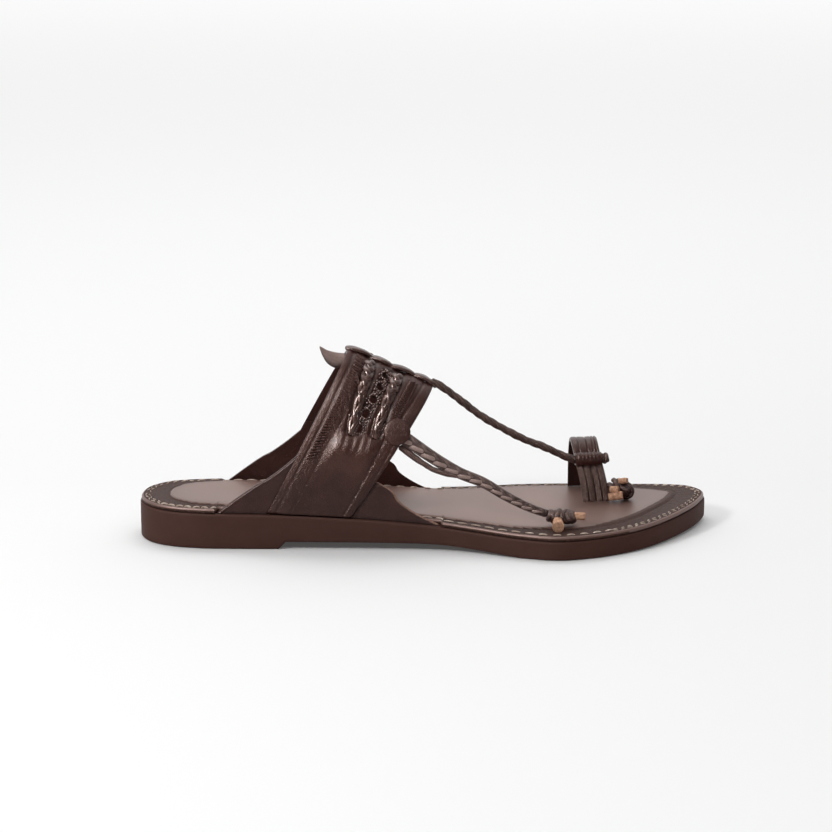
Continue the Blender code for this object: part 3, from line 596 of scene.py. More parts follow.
def finish(name, dark, light, rough, grain, depth, fine, mottle, tone, specular=0.5, coat=0.0,
           coat_rough=0.3):
    """A procedural leather or rubber. dark and light are linear colours, grain the size of its cells in mm,
    depth and fine the heights of the grain and of the finest roughness in mm, mottle the size of its patches,
    and tone the share of its colour that follows the mesh's tone, which holds painted light and shade as
    well as the leather's own uneven colour."""
    made = bpy.data.materials.new(name)
    made.use_nodes = True
    tree = made.node_tree
    shader = tree.nodes["Principled BSDF"]
    for key, value in (("Metallic", 0.0), ("Specular IOR Level", specular), ("Specular Tint", WARM_TINT),
                       ("Coat Weight", coat), ("Coat Roughness", coat_rough)):
        shader.inputs[key].default_value = value
    source = tree.nodes.new("ShaderNodeTexCoord").outputs["Object"]

    # The mesh's tone: painted highlights and painted shade, mixed with rubbed and uneven colour
    painted_light_and_wear = tree.nodes.new("ShaderNodeAttribute")
    painted_light_and_wear.attribute_name = "tone"
    blotches = noise(tree, source, CELLS_PER_METRE / mottle, 4.0, 0.6)["Fac"]
    patches = ranged(tree, blotches, 0.32, 0.7, 0.0, 1.0)
    dots = noise(tree, source, CELLS_PER_METRE / SPECK_SIZE)["Fac"]
    specks = ranged(tree, dots, 0.35, 0.7, 0.0, 1.0)
    mix_by = maths(tree, "ADD", maths(tree, "MULTIPLY", patches, 1 - tone),
                   maths(tree, "MULTIPLY", painted_light_and_wear.outputs["Fac"], tone))
    speckled = maths(tree, "ADD", maths(tree, "MULTIPLY", specks, 0.35), 0.8)
    colour = tree.nodes.new("ShaderNodeMix")
    colour.data_type = "RGBA"
    colour.clamp_factor = True
    tree.links.new(maths(tree, "MULTIPLY", mix_by, speckled), colour.inputs[0])
    colour.inputs[6].default_value = (*dark, 1.0)
    colour.inputs[7].default_value = (*light, 1.0)
    tree.links.new(colour.outputs[2], shader.inputs["Base Color"])

    dull = maths(tree, "ADD", maths(tree, "MULTIPLY", patches, 0.5), maths(tree, "MULTIPLY", specks, 0.5))
    tree.links.new(ranged(tree, dull, 0.0, 1.0, *rough), shader.inputs["Roughness"])

    pores = noise(tree, source, CELLS_PER_METRE / PORE_SIZE)["Fac"]
    height = maths(tree, "ADD", maths(tree, "MULTIPLY", pebbles(tree, source, grain), depth),
                   maths(tree, "MULTIPLY", pores, fine))
    bump = tree.nodes.new("ShaderNodeBump")
    bump.inputs["Strength"].default_value = 1.0
    bump.inputs["Distance"].default_value = MM
    tree.links.new(height, bump.inputs["Height"])
    tree.links.new(bump.outputs["Normal"], shader.inputs["Normal"])
    return made


def make_finishes():
    return {name: finish(name, **values) for name, values in FINISHES.items()}


# Sole

def outsole(material):
    """The moulded slab with its heel lift, shank, toe spring and tread bars."""
    count = 900
    points, inwards = rim(count)
    x = points[:, 0]
    top, low = wall_top(x), underside(x)
    rings = []

    def ring(inset, height):
        place = points + inwards * np.reshape(inset, (-1, 1))
        rings.append(np.column_stack([place, height]))

    ring(9.0, low)
    ring(4.0, low)
    for turn in (80, 50, 25, 0):
        t = math.radians(turn)
        ring(1.0 - math.cos(t), low + 1.0 - math.sin(t))
    wall = ripple(np.column_stack([points, low]), 22.0) * 0.12
    for share in (0.12, 0.25, 0.4, 0.55, 0.7, 0.82, 0.92):
        height = low + 1.0 + (top - low - 1.9) * share
        ring(wall * math.sin(math.pi * share), height)
    for turn in (0, 30, 60, 85):
        t = math.radians(turn)
        ring(0.9 * (1 - math.cos(t)), top - 0.9 + 0.9 * math.sin(t))
    ring(3.0, top)
    ring(9.0, top)
    index = numbered(len(rings), count)
    faces = tube_faces(index, capped=False)
    all_points = [np.vstack(rings)]
    total = len(rings) * count
    for which in (0, len(rings) - 1):
        more, sides = zipped(rings[which], index[which], total, 40, treaded if which == 0 else None)
        all_points.append(more)
        total += len(more)
        faces += sides
    add("sole_slab", np.vstack(all_points), faces, material, ["outsole"], sharp=50)


def treaded(points):
    """The points moved to the height of the tread under the sole, with its cross bars."""
    x = points[:, 0]
    heel = (x > TREAD_MARGIN) & (x < BREAST_PLACE - TREAD_MARGIN / 2)
    forefoot = (x > SHANK_HEIGHTS[-1][0] * LENGTH + 4) & (x < 0.9 * LENGTH)
    wave = np.abs(((x - 4.0) / TREAD_PITCH) % 1.0 - 0.5) * TREAD_PITCH
    cut = step(TREAD_BAR / 2 + 0.5, TREAD_BAR / 2 - 0.2, wave)
    return np.column_stack([points[:, :2], underside(x) + TREAD_DEPTH * cut * (heel | forefoot)])


def zipped(ring, index, first, columns, lift=None):
    """Closes a ring of points across its middle with rows from side to side."""
    count = len(ring)
    half = count // 2
    shares = np.linspace(0, 1, columns + 2)[1:-1]
    little, big = ring[1:half], ring[:half:-1][:half - 1]
    inner = little[:, None] * (1 - shares)[None, :, None] + big[:, None] * shares[None, :, None]
    flat = inner.reshape(-1, 3)
    if lift:
        flat = lift(flat)
    numbers = first + numbered(half - 1, columns)
    table_of = np.column_stack([index[1:half], numbers, index[:half:-1][:half - 1]])
    faces = grid_quads(table_of).tolist()
    for tip, row in ((index[0], table_of[0]), (index[half], table_of[-1])):
        faces += [[int(tip), int(a), int(b)] for a, b in zip(row[:-1], row[1:])]
    return flat, faces


RIM_COUNT = 640


def nearest_rim(flat):
    """For points in plan: the distance to the sole's outline and the number of the nearest rim point."""
    ring, _ = rim(RIM_COUNT)
    distance, which = [], []
    for part in np.array_split(flat[:, :2], 24):
        gap = ((part[:, None] - ring[None]) ** 2).sum(-1)
        which.append(gap.argmin(1))
        distance.append(np.sqrt(gap.min(1)))
    return np.concatenate(distance), np.concatenate(which)


def border_width(which):
    """The width of the pad's dark border at these rim points."""
    ring, _ = rim(RIM_COUNT)
    rows = np.array(PAD_BORDERS)
    x = ring[which, 0]
    little = np.interp(x, rows[:, 0], rows[:, 1])
    big = np.interp(x, rows[:, 0], rows[:, 2])
    middle = ring[0, 1] + (ring[RIM_COUNT // 2, 1] - ring[0, 1]) * x / LENGTH
    return np.where(ring[which, 1] < middle, little, big)


def footbed_height(flat):
    """Height and tone of the insole's upper face."""
    distance, which = nearest_rim(flat)
    inside = distance - border_width(which)
    x = flat[:, 0]
    raised = step(-0.9, 0.9, inside)
    height = insole_top(x) + PAD_RAISE * raised
    flat = np.column_stack([flat[:, :2], np.zeros(len(flat))])
    height += 0.10 * ripple(flat, 17.0) * step(0, 8, inside)
    height += 0.05 * ripple(flat, 1.6) * step(0, -1.5, inside)
    height -= 0.25 * hump(inside + 1.1, 0.7)
    height -= 0.16 * hump(distance - 2.4, 0.5)
    tone = 0.05 + 0.95 * step(-0.9, 0.3, inside) * (0.72 + 0.28 * step(0.0, 7.0, inside))
    # Painted shade darkens the pad towards the toe and at the heel, and a painted sheen lightens it near the
    # edge on the little toe's side of the forefoot
    tone -= (0.42 * step(195, 240, x) + 0.2 * step(90, 25, x)) * step(-0.9, 0.3, inside)
    tone += 0.32 * hump(distance, 1.2) * step(150, 200, x) * step(-8, -18, flat[:, 1])
    return height, tone


def notch(x):
    """How far the insole's edge steps in beside the ears."""
    deep = BAND_OUTSIDE + 2 * GAP
    start = BAND_REAR - EAR_REACH_REAR
    end = BAND_REAR + BAND_WIDTH + EAR_REACH_FRONT
    beside_ears = step(start - 1.2, start + 0.2, x) * step(end + 1.2, end - 0.2, x)
    return INSOLE_INSET + (deep - INSOLE_INSET) * beside_ears


def insole(material, border_material):
    """The footbed with a rolled rim, a stitching channel and a raised pad in a dark border."""
    count = RIM_COUNT
    points, inwards = rim(count)
    x = points[:, 0]
    inset, low = notch(x), wall_top(x) + GAP
    rings = [np.column_stack([points + inwards * (inset + 6)[:, None], low]),
             np.column_stack([points + inwards * (inset + 0.3)[:, None], low]),
             np.column_stack([points + inwards * inset[:, None], low + 0.35])]
    tones = [np.full(count, 0.1)] * 3
    # The rolled rim is lighter, more so at the toe: partly rubbed leather, partly a painted highlight on the
    # rolled edge
    painted_light_and_wear = 0.5 + 0.25 * step(200, 250, x)
    for turn in (0, 20, 40, 60, 78):
        t = math.radians(turn)
        place = points + inwards * (inset + 1.1 * (1 - math.cos(t)))[:, None]
        rings.append(np.column_stack([place, low + INSOLE_THICKNESS - 1.1 * (1 - math.sin(t))]))
        tones.append(painted_light_and_wear)
    for depth in (1.25, *np.linspace(1.6, 3.2, 5), *np.linspace(3.7, 9.2, 12), 9.8, 10.5):
        place = points + inwards * (inset + depth)[:, None]
        height, tone = footbed_height(place)
        rings.append(np.column_stack([place, height]))
        tones.append(tone)
    index = numbered(len(rings), count)
    faces = tube_faces(index, capped=False)
    total = len(rings) * count
    bottom, sides = zipped(rings[0], index[0], total, 6)
    faces += sides
    total += len(bottom)
    top, sides = zipped(rings[-1], index[-1], total, 64)
    faces += sides
    height, tone = footbed_height(top)
    top = np.column_stack([top[:, :2], height])
    tones = np.concatenate([np.concatenate(tones), np.full(len(bottom), 0.1), tone])
    dark = [tones[face].mean() < 0.42 for face in faces]
    add("footbed", np.vstack([np.vstack(rings), bottom, top]), faces, [material, border_material],
        ["insole"], sharp=60, tone=tones, extra=dark)


def rim_line(depth):
    """A closed line on the insole at a distance inside the sole's outline."""
    points, inwards = rim(RIM_COUNT)
    inset = np.maximum(notch(points[:, 0]), INSOLE_INSET) - INSOLE_INSET
    place = points + inwards * (depth + 0.9 * inset)[:, None]
    return np.vstack([place, place[:1]])


def stitches(material):
    """Thread dashes round the footbed: single ones on the sides, and fine rows round the heel and the toe."""
    parts = []

    def dash(line, run, at, size, wide, slant=0.0, lift=0.35):
        spots = np.linspace(at - size / 2, at + size / 2, 6)
        place = read_line(line, run, spots)
        ahead = unit(place[-1] - place[0])
        across = np.array([-ahead[1], ahead[0]])
        place = place + across * (np.linspace(-0.5, 0.5, 6) * slant)[:, None]
        height = footbed_height(place)[0]
        arch = np.sin(np.linspace(0, math.pi, 6)) ** 0.6
        path = np.column_stack([place, height + lift * (arch - 0.55)])
        parts.append(strand(path, wide * (0.75 + 0.25 * arch), 0.75, (0, 0, 1), count=8, cap=0.5))

    def row(depth, pitch, size, wide, inside, slant=0.0, shift=0.0, lift=0.35):
        line = rim_line(depth)
        run = run_along(line)
        for number in range(int(run[-1] / pitch)):
            at = (number + 0.5 + shift) * pitch
            wobble = 0.12 * math.sin(number * 12.9)
            if inside(*read_line(line, run, at)):
                turned = slant * (1 if number % 2 else -1)
                dash(line, run, at, size * (1 + wobble), wide, turned, lift)

    def heel(x, y):
        return x < 13 or (x < 24 and y > 14)

    def toe(x, y):
        return x > 250 or (x > 236 and y < 10)

    def side(x, y):
        return not heel(x, y) and not toe(x, y) and not (x < 42 and y < 0)

    row(4.2, 6.9, 4.3, 1.2, side)
    row(2.9, 4.4, 2.0, 0.6, lambda x, y: heel(x, y) or toe(x, y), slant=0.7, lift=0.1)
    row(4.6, 4.4, 1.7, 0.6, lambda x, y: heel(x, y) or toe(x, y), slant=-0.6, shift=0.4, lift=0.1)
    row(2.9, 4.3, 3.4, 1.7, lambda x, y: 13 < x < 40 and y < 0, slant=0.8, lift=0.7)
    add_parts("footbed_stitches", parts, material, tone=(0.5, 0.5, 6.0))


# Band

BAND_FACE_WIDTH = 37.0
LACE_LINE = 0.472
# Soft swellings below the openwork: share across the band, arch angle, breadth in mm and height
SWELLINGS = (
    (0.36, 29.5, 2.2, 0.9), (0.45, 28.0, 2.0, 1.0), (0.535, 30.0, 1.6, 0.7), (0.615, 28.5, 2.0, 0.8),
    (0.70, 29.5, 2.4, 1.1),
)
CREASES = (0.405, 0.495, 0.575, 0.655)


def share_mm(share):
    """A share of the band's width in millimetres across its face, which leans forwards."""
    return np.asarray(share) * BAND_FACE_WIDTH


def plait_gap(angle, share):
    """Distance in mm across the band from the nearer plait's middle, large above and below the plaits."""
    found = np.full(np.shape(share), 99.0)
    for rows in PLAITS.values():
        high, middle, low = rows
        line = np.interp(angle, (low[0], middle[0], high[0]), (low[1], middle[1], high[1]))
        off = np.abs(share_mm(share - line)) + 6.0 * step(low[0] + 0.5, low[0] - 2.5, angle)
        found = np.minimum(found, off)
    return found


def relief(angle, share):
    """How far the band's outer face stands off its plain surface, in millimetres."""
    def groove(line, width, depth):
        return -depth * hump(share_mm(share - line), width)

    height = groove(0.098 - 0.034 * angle / 90, 0.26, 0.55)
    height += groove(0.262, 0.35, 0.2) * step(84, 76, angle)
    height += groove(0.850 + 0.026 * (angle - 46) / 25, 0.28, 0.55) * step(44, 47, angle)
    for line in (0.905, 0.935):
        height += groove(line, 0.22, 0.18) * step(52, 60, angle)
    low = np.clip(angle, 0, 43) / 36
    height += groove(0.89 - 0.09 * low, 0.28, 0.6) * step(41, 38, angle)
    height += groove(1.0 - 0.08 * low, 0.3, 0.4) * step(41, 38, angle)
    for line in (0.925, 0.955):
        height += -groove(line - 0.075 * low, 0.3, 0.18) * step(40, 36, angle)
    beside_lace = np.abs(share_mm(share - LACE_LINE))
    height -= 0.7 * step(2.6, 1.6, beside_lace) * step(32, 35, angle) * step(82, 78, angle)
    height -= 0.45 * step(3.4, 2.4, plait_gap(angle, share))
    for centre, middle, width, tall in SWELLINGS:
        across = share_mm(share - centre - 0.006 * (30 - angle)) / (1.25 * width)
        height += 0.75 * tall * np.exp(-across ** 2) * hump(angle - middle, 5.5)
    for centre in CREASES:
        crease = share_mm(share - centre - 0.006 * (30 - angle)) / 0.8
        height -= 0.35 * np.exp(-crease ** 2) * hump(angle - 31, 4.5)
    height += 1.9 * hump(angle - 24, 6.5) * step(0.24, 0.36, share) * step(0.85, 0.74, share)
    return height - curl(angle, share)


def curl(angle, share):
    """How far the band's edges bend inwards, in millimetres. The bend fades out near the ridge."""
    rear = np.clip(1 - share_mm(share) / 10.0, 0, 1)
    front = np.clip(1 - share_mm(1 - share) / 3.5, 0, 1)
    return (1.5 * rear ** 1.7 + 0.4 * front ** 1.7) * step(88, 74, angle)


def band_grid(offset_of):
    """A grid of points over the whole band, and the angle, share and side of each. offset_of gives their
    distance from the last."""
    turns = np.linspace(-1, 1, 381)
    middle = np.linspace(0, 1, 69)[1:-1]
    shares = np.concatenate([[0, 0.004, 0.009], middle, [0.991, 0.996, 1.0]])
    place = BAND_REAR + shares * BAND_WIDTH
    lowest = angle_at(place, BAND_RISE)
    angle = lowest[None] + (1 - np.abs(turns))[:, None] * (90 - lowest)[None]
    side = np.where(turns < 0, -1.0, 1.0)[:, None] * np.ones_like(angle)
    share = np.broadcast_to(shares[None], angle.shape)
    points = on_last(BAND_REAR + share * BAND_WIDTH, angle, side, offset_of(angle, share, side))
    return points, angle, share, side


def hole_shift(angle, share, side):
    """Distance in mm from each grid point to the nearest hole's middle."""
    found = np.full(angle.shape, 99.0)
    points = on_band(angle, share, side, BAND_OUTSIDE)
    for hole_side in (-1, 1):
        for hole_angle, hole_share in HOLES:
            middle = on_band(hole_angle, hole_share, hole_side, BAND_OUTSIDE)
            found = np.minimum(found, np.linalg.norm(points - middle, axis=-1))
    return found


def band(material):
    def outside(angle, share, side):
        edge = share_mm(np.minimum(share, 1 - share))
        rounded = 0.55 * (1 - np.sqrt(np.clip(1 - (1 - np.clip(edge / 0.7, 0, 1)) ** 2, 0, 1)))
        plain = on_band(angle, share, side, BAND_OUTSIDE)
        return BAND_OUTSIDE + relief(angle, share) - rounded + 0.10 * ripple(plain, 11.0)

    outer, angle, share, side = band_grid(outside)
    inner = band_grid(lambda a, s, e: np.full(a.shape, BAND_INSIDE + 0.05))[0]
    distance = hole_shift(angle, share, side)
    cell = (distance[:-1, :-1] + distance[1:, :-1] + distance[1:, 1:] + distance[:-1, 1:]) / 4
    points, faces, _, used = shell_of(outer, inner, cell > HOLE_RADIUS)
    # Painted light and shade: raised relief and the swellings are lighter and grooves darker, partly antique
    # dye and partly painted shade; the rear edge strip and the ridge carry a painted highlight; painted shade
    # darkens the base, the leather beside the plaits and along the lace line
    lift = relief(angle, share) + curl(angle, share)
    tone = np.clip(0.5 + 0.55 * lift, 0, 1)
    tone += 0.25 * step(0.095, 0.0, share) + 0.1 * step(60, 85, angle)
    tone *= 0.25 + 0.75 * step(2, 24, angle)
    tone *= 1 - 0.9 * step(3.2, 2.2, plait_gap(angle, share))
    beside_lace = np.abs(share_mm(share - LACE_LINE))
    tone *= 1 - 0.8 * step(3.2, 2.2, beside_lace) * step(32, 35, angle) * step(84, 80, angle)
    tone = np.concatenate([tone.ravel(), np.full(tone.size, 0.6)])[used]
    add("arch_band", points, faces, material, ["upper"], tone=tone)


def ears(material, edge_material):
    """The ears that rise from the sole's edge and run up under the band."""
    for side, name in ((-1, "ear_little_toe_side"), (1, "ear_big_toe_side")):
        up = np.linspace(0, 1, 56) * EAR_TOP
        rear = BAND_REAR - table(EAR_REAR_EDGE, EAR_HEIGHT_REAR, EAR_REACH_REAR, up)
        front = BAND_REAR + BAND_WIDTH + table(EAR_FRONT_EDGE, EAR_HEIGHT_FRONT, EAR_REACH_FRONT, up)
        rear = rear + BAND_WIDTH * 0.1 * np.maximum(0.0, up / EAR_HEIGHT_REAR - 1)
        front = np.where(up > EAR_HEIGHT_FRONT, np.minimum(front, BAND_REAR + BAND_WIDTH * 0.93), front)
        shares = np.linspace(0, 1, 150)
        place = rear[:, None] * (1 - shares) + front[:, None] * shares
        height = np.broadcast_to(up[:, None], place.shape)
        covered = step(0.3, 1.5, place - BAND_REAR) * step(-0.3, -1.5, place - BAND_REAR - BAND_WIDTH)
        edge = np.minimum(place - rear[:, None], front[:, None] - place)
        rounded = 0.55 * hump(edge, 0.5)
        lip = 0.35 * hump(place - rear[:, None] - 1.3, 0.9)
        angle = angle_at(place, height)
        plain = on_last(place, angle, side, EAR_WALL)
        out = EAR_WALL - (EAR_WALL - 0.8) * covered - rounded * (1 - covered) + lip * (1 - covered)
        out = out + 0.12 * ripple(plain, 9.0) * (1 - covered)
        pulled = 1.1 * hump(front[:, None] - place, 1.2) * (1 - covered)
        outer = on_last(place - pulled, angle, side, out)
        inner = on_last(place, angle, side, 0.12 * rounded)
        points, faces, is_wall, used = shell_of(outer, inner)
        middle = points[faces].mean(1)
        front_edge = is_wall & (middle[:, 0] > BAND_REAR + BAND_WIDTH)
        front_edge &= middle[:, 2] > wall_top(middle[:, 0]) + 0.5
        # Painted shade darkens each ear near its base and where the band's rear and front edges lie over it;
        # the ear is also lighter within 3 mm of its edges
        tone = 0.3 - 0.25 * step(5.0, 0.0, height) + 0.15 * step(3.0, 0.5, edge)
        tone -= 0.4 * (hump(place - BAND_REAR, 0.9) + hump(place - BAND_REAR - BAND_WIDTH, 0.9))
        tone = np.concatenate([tone.ravel(), np.full(tone.size, 0.6)])[used]
        add(name, points, faces, [material, edge_material], ["upper"], sharp=50, tone=tone,
            extra=front_edge.astype(int))


def tooling(material):
    """The raised ticks tooled across the band's rear strip and its front panel, and the fine lines that sweep
    from the rear strip to the plait."""
    parts = []

    def tick(angles, shares, size, side, lift):
        t = np.linspace(0, 1, len(angles))
        path = on_band(angles, shares, side, BAND_OUTSIDE + lift)
        wide = size * np.sin(0.35 + (math.pi - 0.7) * t)
        parts.append(strand(path, wide, 0.75, out_of_band(angles, shares, side), count=8, cap=0.8))

    t = np.linspace(0, 1, 7)
    for side in (-1, 1):
        for number, angle in enumerate(np.arange(20.0, 83.0, 1.25)):
            bend = 0.5 * math.sin(number * 2.1)
            if angle > 50:
                angles = angle - 1.2 * t + bend * np.sin(math.pi * t)
                tick(angles, 0.105 + (0.115 + 0.01 * bend) * t, 0.95, side, 0.24)
            else:
                tick(angle + 0.5 * t, 0.108 + 0.05 * t, 1.15, side, 0.22)
                tick(angle + 0.6 + 0.5 * t, 0.158 + 0.05 * t, 1.0, side, 0.16)
        for number, angle in enumerate(np.arange(40.0, 70.0, 1.7)):
            sweep = np.linspace(0, 1, 12)
            shares = 0.125 + 0.13 * sweep ** 1.4 + 0.008 * math.sin(number)
            tick(angle - 7.5 * sweep ** 1.2 + 0.7 * np.sin(sweep * 7 + number), shares, 0.7, side, 0.12)
        for angle in np.arange(46.0, 78.0, 1.6):
            tick(angle + np.abs(2 * t - 1) * 1.5, 0.718 + 0.075 * t, 0.8, side, 0.24)
            tick(angle + 0.7 * t, 0.806 + 0.018 * t, 1.0, side, 0.26)
    # The ticks' light tone is a painted highlight
    add_parts("band_tooling", parts, material, tone=(0.95, 0.0, 1.0))


def lacework(material):
    """Roped rims round the openwork holes, and the beads laced between them."""
    parts = []
    for side in (-1, 1):
        for number, (angle, share) in enumerate(HOLES):
            turns = turns_of(12)
            for layer, (radius, size) in enumerate(((HOLE_RADIUS + 0.35, 0.82), (HOLE_RADIUS + 1.45, 0.62))):
                angles, shares = beside(angle, share, side, radius * np.cos(turns + layer * 0.26),
                                        radius * 1.05 * np.sin(turns + layer * 0.26))
                for i, (a, s) in enumerate(zip(angles, shares)):
                    if layer and (i + number) % 3 == 0:
                        continue
                    out = out_of_band(a, s, side)
                    middle = on_band(a, s, side, BAND_OUTSIDE - 0.35 + 0.25 * math.sin(i * 2.4))
                    ahead = on_band(angle, share, side, BAND_OUTSIDE) - middle
                    parts.append(bead(middle, (size * 0.85, size * 1.1, size), out, ahead + 0.3 * out))
        middles = [on_band(h, e, side, 4) for h, e in HOLES]
        for number in range(40):
            ahead, up = 2.1 * math.sin(number * 2.4), 0.4 * math.cos(number)
            a, s = beside(33.5 + 46 * number / 39, 0.473, side, ahead, up)
            if min(np.linalg.norm(on_band(a, s, side, 4) - m) for m in middles) < 2.9:
                continue
            middle = on_band(a, s, side, BAND_OUTSIDE - 0.2)
            turn = number * 1.3
            ahead = np.array([math.cos(turn), 0.1, math.sin(turn)])
            parts.append(bead(middle, (0.95, 0.65, 0.65), out_of_band(a, s, side), ahead))
    add_parts("lacework", parts, material, ["upper"], tone=(0.5, 0.45, 1.5))


def plaited(route, across, out, run, pitch, swing, wide, thick, lift):
    """Three flat strands plaited along a route. pitch, swing and wide are given at each point of it."""
    turned = np.concatenate([[0.0], np.cumsum(np.diff(run) / np.broadcast_to(pitch, run.shape)[1:])])
    parts = []
    for number in range(3):
        phase = 2 * math.pi * (turned + number / 3 + 0.1)
        height = lift[0] + lift[1] * np.cos(2 * phase + 0.4)
        path = route + across * (swing * np.sin(phase))[:, None] + out * height[:, None]
        tilt = out + across * (0.5 * np.sin(phase))[:, None]
        parts.append(strand(path, wide, thick, tilt, count=12, cap=0.9, square=0.85))
    return parts


def plait(which, side, material):
    """Three slender strands plaited over the band: short crossings at the top, long ones below, and a thin
    welt round the lower end."""
    line = even(np.array(smooth(PLAITS[which], 60)), 150)
    route = on_band(line[:, 0], line[:, 1], side, BAND_OUTSIDE)
    out = out_of_band(line[:, 0], line[:, 1], side)
    ahead = directions(route)
    across = np.cross(out, ahead)
    run = run_along(route)
    share = run / run[-1]
    pitch = 13.0 + 16.0 * step(0.1, 0.6, share)
    fade = step(1.02, 0.86, share)
    swing = (1.95 - 0.45 * step(0.2, 0.6, share)) * (0.45 + 0.55 * fade)
    wide = (3.1 - 0.75 * step(0.15, 0.55, share)) * (1 - 0.25 * step(0.88, 1.0, share))
    parts = plaited(route, across, out, run, pitch, swing, wide, 1.75, (0.62, 0.62))
    turn = np.linspace(-1.0, 1.0, 40)
    numbers = np.arange(len(run))
    back = np.interp(run[-1] - 9.0 * np.abs(turn) ** 1.7, run, numbers)
    spots, sides, outs = (read_line(line, numbers, back) for line in (route, across, out))
    welt = spots + sides * (3.0 * np.sign(turn) * np.abs(turn) ** 0.55)[:, None] + outs * 0.15
    welt += ahead[-1] * (1.7 * (1 - turn ** 2) ** 2)[:, None]
    parts.append(strand(welt, 0.8, 0.9, outs, count=8, cap=0.6))
    toe = "little_toe_side" if side < 0 else "big_toe_side"
    node = f"plait_{which}_{toe}"
    add_parts(f"braided_{which}_{toe}", parts, material, [node], tone=(0.55, 0.4, 2.2))


DISC_SIDES = 64


def side_disc(material):
    """The round domed disc over the root of the side braid."""
    radii = np.array([0.0, 0.12, 0.25, 0.4, 0.55, 0.7, 0.82, 0.9, 0.95, 0.985, 1.0, 0.995, 0.96])
    radii = radii * DISC_RADIUS
    heights = np.array([1.35, 1.34, 1.33, 1.31, 1.28, 1.22, 1.12, 0.98, 0.82, 0.6, 0.35, 0.15, 0.02]) + 0.25
    turns = turns_of(DISC_SIDES)
    rings = []
    for radius, height in zip(np.maximum(radii, 0.01), heights):
        angle, share = beside(*DISC_PLACE, -1, radius * np.cos(turns), radius * np.sin(turns))
        rings.append(on_band(angle, share, -1, BAND_OUTSIDE + height))
    tone = np.repeat(np.where(radii > 0.8 * DISC_RADIUS, 0.62, 0.42), DISC_SIDES)
    faces = tube_faces(numbered(len(rings), DISC_SIDES))
    add("button_disc", np.vstack(rings), faces, material, ["side_disc"], tone=tone)


# Where each bar on the ridge starts and ends, as shares of the band's width, and how tall it stands
THONG_BARS = ((-0.015, 0.255, 0.5), (0.25, 0.50, 0.35), (0.475, 0.765, 0.6), (0.75, 1.02, 0.7))


def spine_thong(material):
    """The thong laced along the ridge: flat rounded bars that dip into the band one after another."""
    parts = []
    t = np.linspace(0, 1, 30)
    arch = np.sin(math.pi * np.clip(t, 0.02, 0.98))
    for number, (start, end, tall) in enumerate(THONG_BARS):
        share = start + (end - start) * t
        rise = -0.65 + (0.8 + tall) * arch ** 0.42 + 0.35 * (t - 0.5) * (1 if number < 3 else -1)
        swing = 0.55 * np.cos(math.pi * t) * (1 if number % 2 else -1)
        path = on_band(90, share, 1, BAND_OUTSIDE + rise) + np.outer(swing, (0, 1, 0))
        wide = 5.5 * (0.62 + 0.38 * arch ** 0.5)
        thick = 2.5 * (0.7 + 0.3 * arch ** 0.5)
        tilt = np.column_stack([np.full(30, 0.42), -0.12 * np.cos(math.pi * t), np.ones(30)])
        parts.append(strand(path, wide, thick, tilt, count=18, cap=0.5, square=0.8))
    add_parts("ridge_lacing", parts, material, ["spine_thong"], tone=(0.6, 0.35, 3.0),
              lumps=(0.10, 2.2, (0, 0.6, 1.0)))


def tail_leaf(material):
    """The thong's pointed end, which comes out of the band's rear edge and curls up behind it."""
    root = on_band(90, 0.0, 1, BAND_INSIDE) - (1.3 * GAP, 0, 0)
    rows = smooth(LEAF_PROFILE, 40)
    grid_out, grid_in = [], []
    for back, top, bottom in rows:
        x = root[0] - back * LEAF_LENGTH
        high = root[2] + top * LEAF_DEPTH
        low = root[2] + bottom * LEAF_DEPTH
        across = np.linspace(-1, 1, 17)
        z = (high + low) / 2 + across * (high - low) / 2
        cup = -0.9 * (1 - across ** 2) + 0.5 * across
        thick = 0.75 * (1 - 0.45 * back) * np.sqrt(np.clip(1 - across ** 8, 0.05, 1))
        middle = root[1] - 0.3 + cup * 0.6 * (1 - 0.4 * back)
        grid_out.append(np.column_stack([np.full(17, x), middle - thick, z]))
        grid_in.append(np.column_stack([np.full(17, x), middle + thick, z]))
    points, faces, _, used = shell_of(np.array(grid_out), np.array(grid_in))
    across = np.tile(np.linspace(-1, 1, 17), 2 * len(rows))[used]
    # Painted light and shade: the leaf's upper face is light as if lit, and its lower edge dark as painted
    # shade
    tone = 0.1 + 0.6 * step(-0.85, -0.2, across)
    add("curled_leaf", points, faces, material, ["tail_leaf"], sharp=60, tone=tone)


# Toe ring

LOOP_GROOVES = (-0.26, 0.05, 0.27, 0.38)
UP = np.array((0.0, 0.0, 1.0))


def circle(turns, radius, side, tall=1.0):
    """Points round an upright circle, or an ellipse that is taller than it is wide."""
    return np.outer(radius * np.cos(turns), side) + np.outer(radius * tall * np.sin(turns), UP)


def ring_way():
    """The direction of the toe ring's width."""
    yaw = math.radians(RING_YAW)
    return np.array([math.cos(yaw), math.sin(yaw), 0.0])


def ring_line(count=25):
    """The toe ring's middle line, up from the pad on its near side and down on its far side."""
    floor = pad_top(RING_PLACE) + GAP
    return smooth([(RING_PLACE + lean * RING_LEAN, RING_NEAR_SIDE + across * (RING_FAR_SIDE - RING_NEAR_SIDE),
                    floor + up * RING_HEIGHT) for across, up, lean in RING_PATH], count)


def roll_middle():
    floor = pad_top(RING_PLACE) + GAP
    line = ring_line()
    near = line[:len(line) // 2]
    at = near[np.abs(near[:, 2] - floor - ROLL_HEIGHT).argmin()]
    return np.array([at[0], at[1] - 0.3 * ROLL_RADIUS, floor + ROLL_HEIGHT])


def ring_frame(line):
    """Directions out of the toe ring, square to x."""
    ahead = np.gradient(line, axis=0)
    ahead[:, 0] = 0
    return np.cross(unit(ahead), (1.0, 0.0, 0.0))


